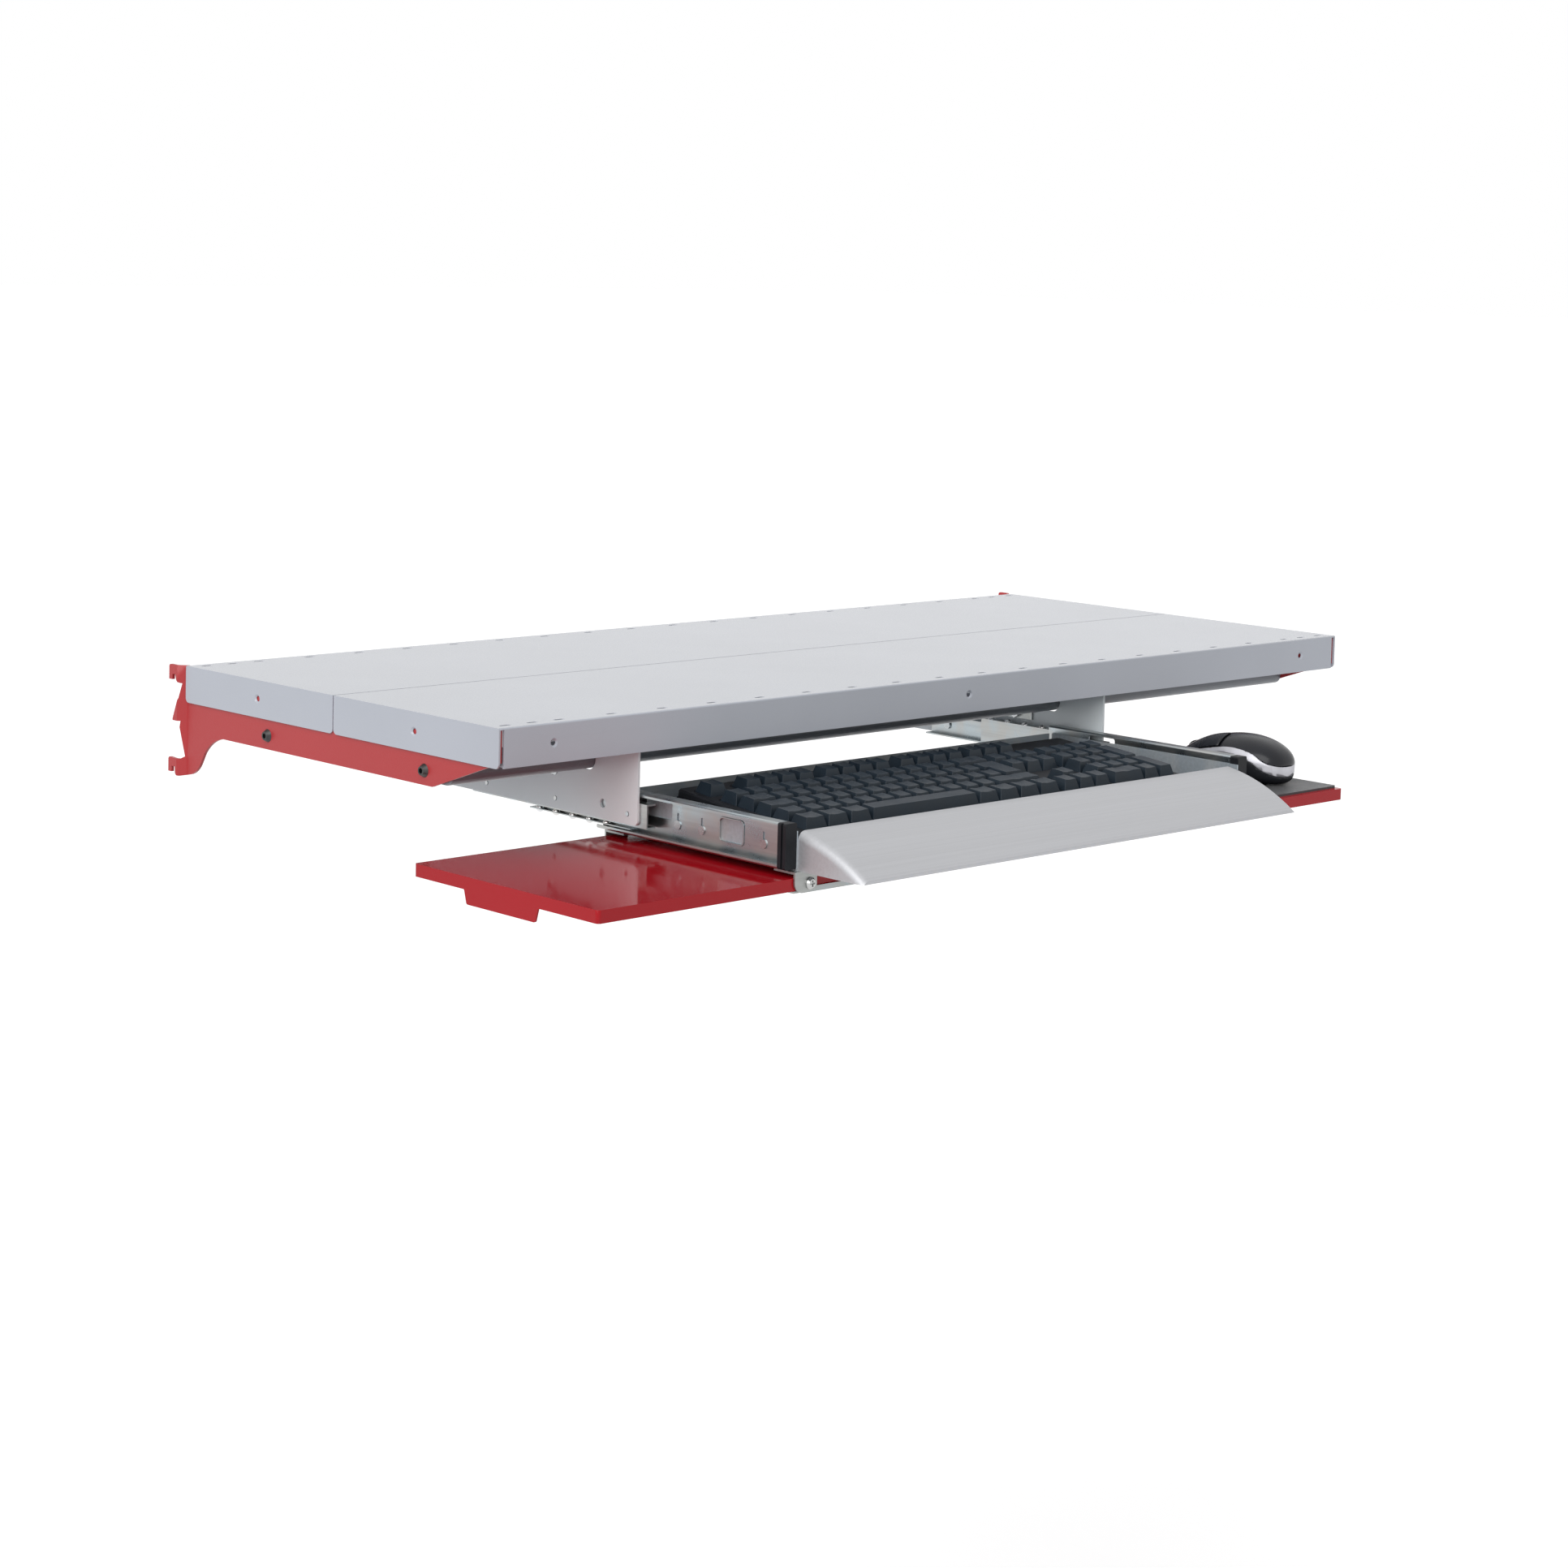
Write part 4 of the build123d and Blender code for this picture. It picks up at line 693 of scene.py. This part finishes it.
# %% Floor and sky
FLOOR_DROP = 1.05
FLOOR_HALF = 60.0
FLOOR_PALE = (0.90, 0.90, 0.90, 1)
FLOOR_GLOW = (0.42, 0.42, 0.42, 1)
FLOOR_BOUNCE = (0.60, 0.61, 0.63, 1)
BLACK = (0, 0, 0, 1)
SKY_LIGHT = 0.42


def seen_directly(tree):
    """1 for what is seen by the camera, in a mirror or through glass, and 0 for bounced light."""
    rays = add(tree, "ShaderNodeLightPath").outputs
    mirror = maths(tree, "MAXIMUM", rays["Is Glossy Ray"], rays["Is Transmission Ray"])
    return maths(tree, "MAXIMUM", rays["Is Camera Ray"], mirror)


floor_mesh = bpy.data.meshes.new("studio floor")
sheet = bmesh.new()
bmesh.ops.create_grid(sheet, x_segments=1, y_segments=1, size=FLOOR_HALF)
bmesh.ops.translate(sheet, verts=sheet.verts, vec=(0, 0, -FLOOR_DROP))
sheet.to_mesh(floor_mesh)
sheet.free()
floor = bpy.data.objects.new("studio_floor", floor_mesh)
bpy.context.scene.collection.objects.link(floor)

floor_paint = bpy.data.materials.new("floor paint")
floor_paint.use_nodes = True
paint = floor_paint.node_tree
shader = paint.nodes["Principled BSDF"].inputs
shader["Roughness"].default_value = 0.9
shader["Specular IOR Level"].default_value = 0.0
shader["Emission Strength"].default_value = 1.0
seen = seen_directly(paint)
paint.links.new(mix(paint, seen, FLOOR_BOUNCE, FLOOR_PALE), shader["Base Color"])
paint.links.new(mix(paint, seen, BLACK, FLOOR_GLOW), shader["Emission Color"])
under = add(paint, "ShaderNodeNewGeometry").outputs["Backfacing"]
paint.links.new(maths(paint, "SUBTRACT", 1.0, under), shader["Alpha"])
floor_mesh.materials.append(floor_paint)

world = bpy.data.worlds.new("studio")
bpy.context.scene.world = world
world.use_nodes = True
sky = world.node_tree
sky.nodes.clear()
level = span(sky, seen_directly(sky), 0.0, 1.0, SKY_LIGHT, 1.0)
background = add(sky, "ShaderNodeBackground", Color=(1, 1, 1, 1), Strength=level)
surface = sky.nodes.new("ShaderNodeOutputWorld")
sky.links.new(background.outputs[0], surface.inputs["Surface"])
print("floor", FLOOR_DROP, "m down, sky light", SKY_LIGHT)

# %% [markdown]
# One large soft lamp stands for the studio's main light. It comes from the left and the
# front, fairly low, so that the shelf's end and its front are both bright, and the white
# surroundings show in the flat tops.

# %% Light
LAMP_TILT = radians(54)
LAMP_TURN = radians(22)
LAMP_SPREAD = radians(60)
LAMP_STRENGTH = 2.0
lamp_data = bpy.data.lights.new("ceiling light", "SUN")
lamp_data.energy = LAMP_STRENGTH
lamp_data.angle = LAMP_SPREAD
lamp = bpy.data.objects.new("ceiling_light", lamp_data)
lamp.rotation_euler = (0, -LAMP_TILT, LAMP_TURN)
bpy.context.scene.collection.objects.link(lamp)
print("lamp strength", LAMP_STRENGTH, "turned", tuple(lamp.rotation_euler))

# %% [markdown]
# The camera stands left of the shelf, a little above it, looking down by four degrees. The
# numbers come from the vanishing points of the shelf's edges. The picture was cut out of a
# wider one, so the lens is shifted instead of turned.

# %% Camera
CAMERA_PLACE = (-1.965, -2.2147, 0.35848)
CAMERA_TURN = (radians(85.9232), radians(-1.2486), radians(-42.3953))
camera_data = bpy.data.cameras.new("camera")
camera_data.sensor_width = 36.0
camera_data.lens = 74.203
camera_data.shift_x = 0.05874
camera_data.shift_y = -0.20280
camera_data.clip_end = 200.0
camera = bpy.data.objects.new("camera", camera_data)
camera.location = CAMERA_PLACE
camera.rotation_euler = CAMERA_TURN
bpy.context.scene.collection.objects.link(camera)
bpy.context.scene.camera = camera
bpy.context.scene.view_settings.view_transform = "Standard"
print("camera at", CAMERA_PLACE, "lens", camera_data.lens)

# %% [markdown]
# At the end the view layer is brought up to date.

# %% Update the view layer
bpy.context.view_layer.update()
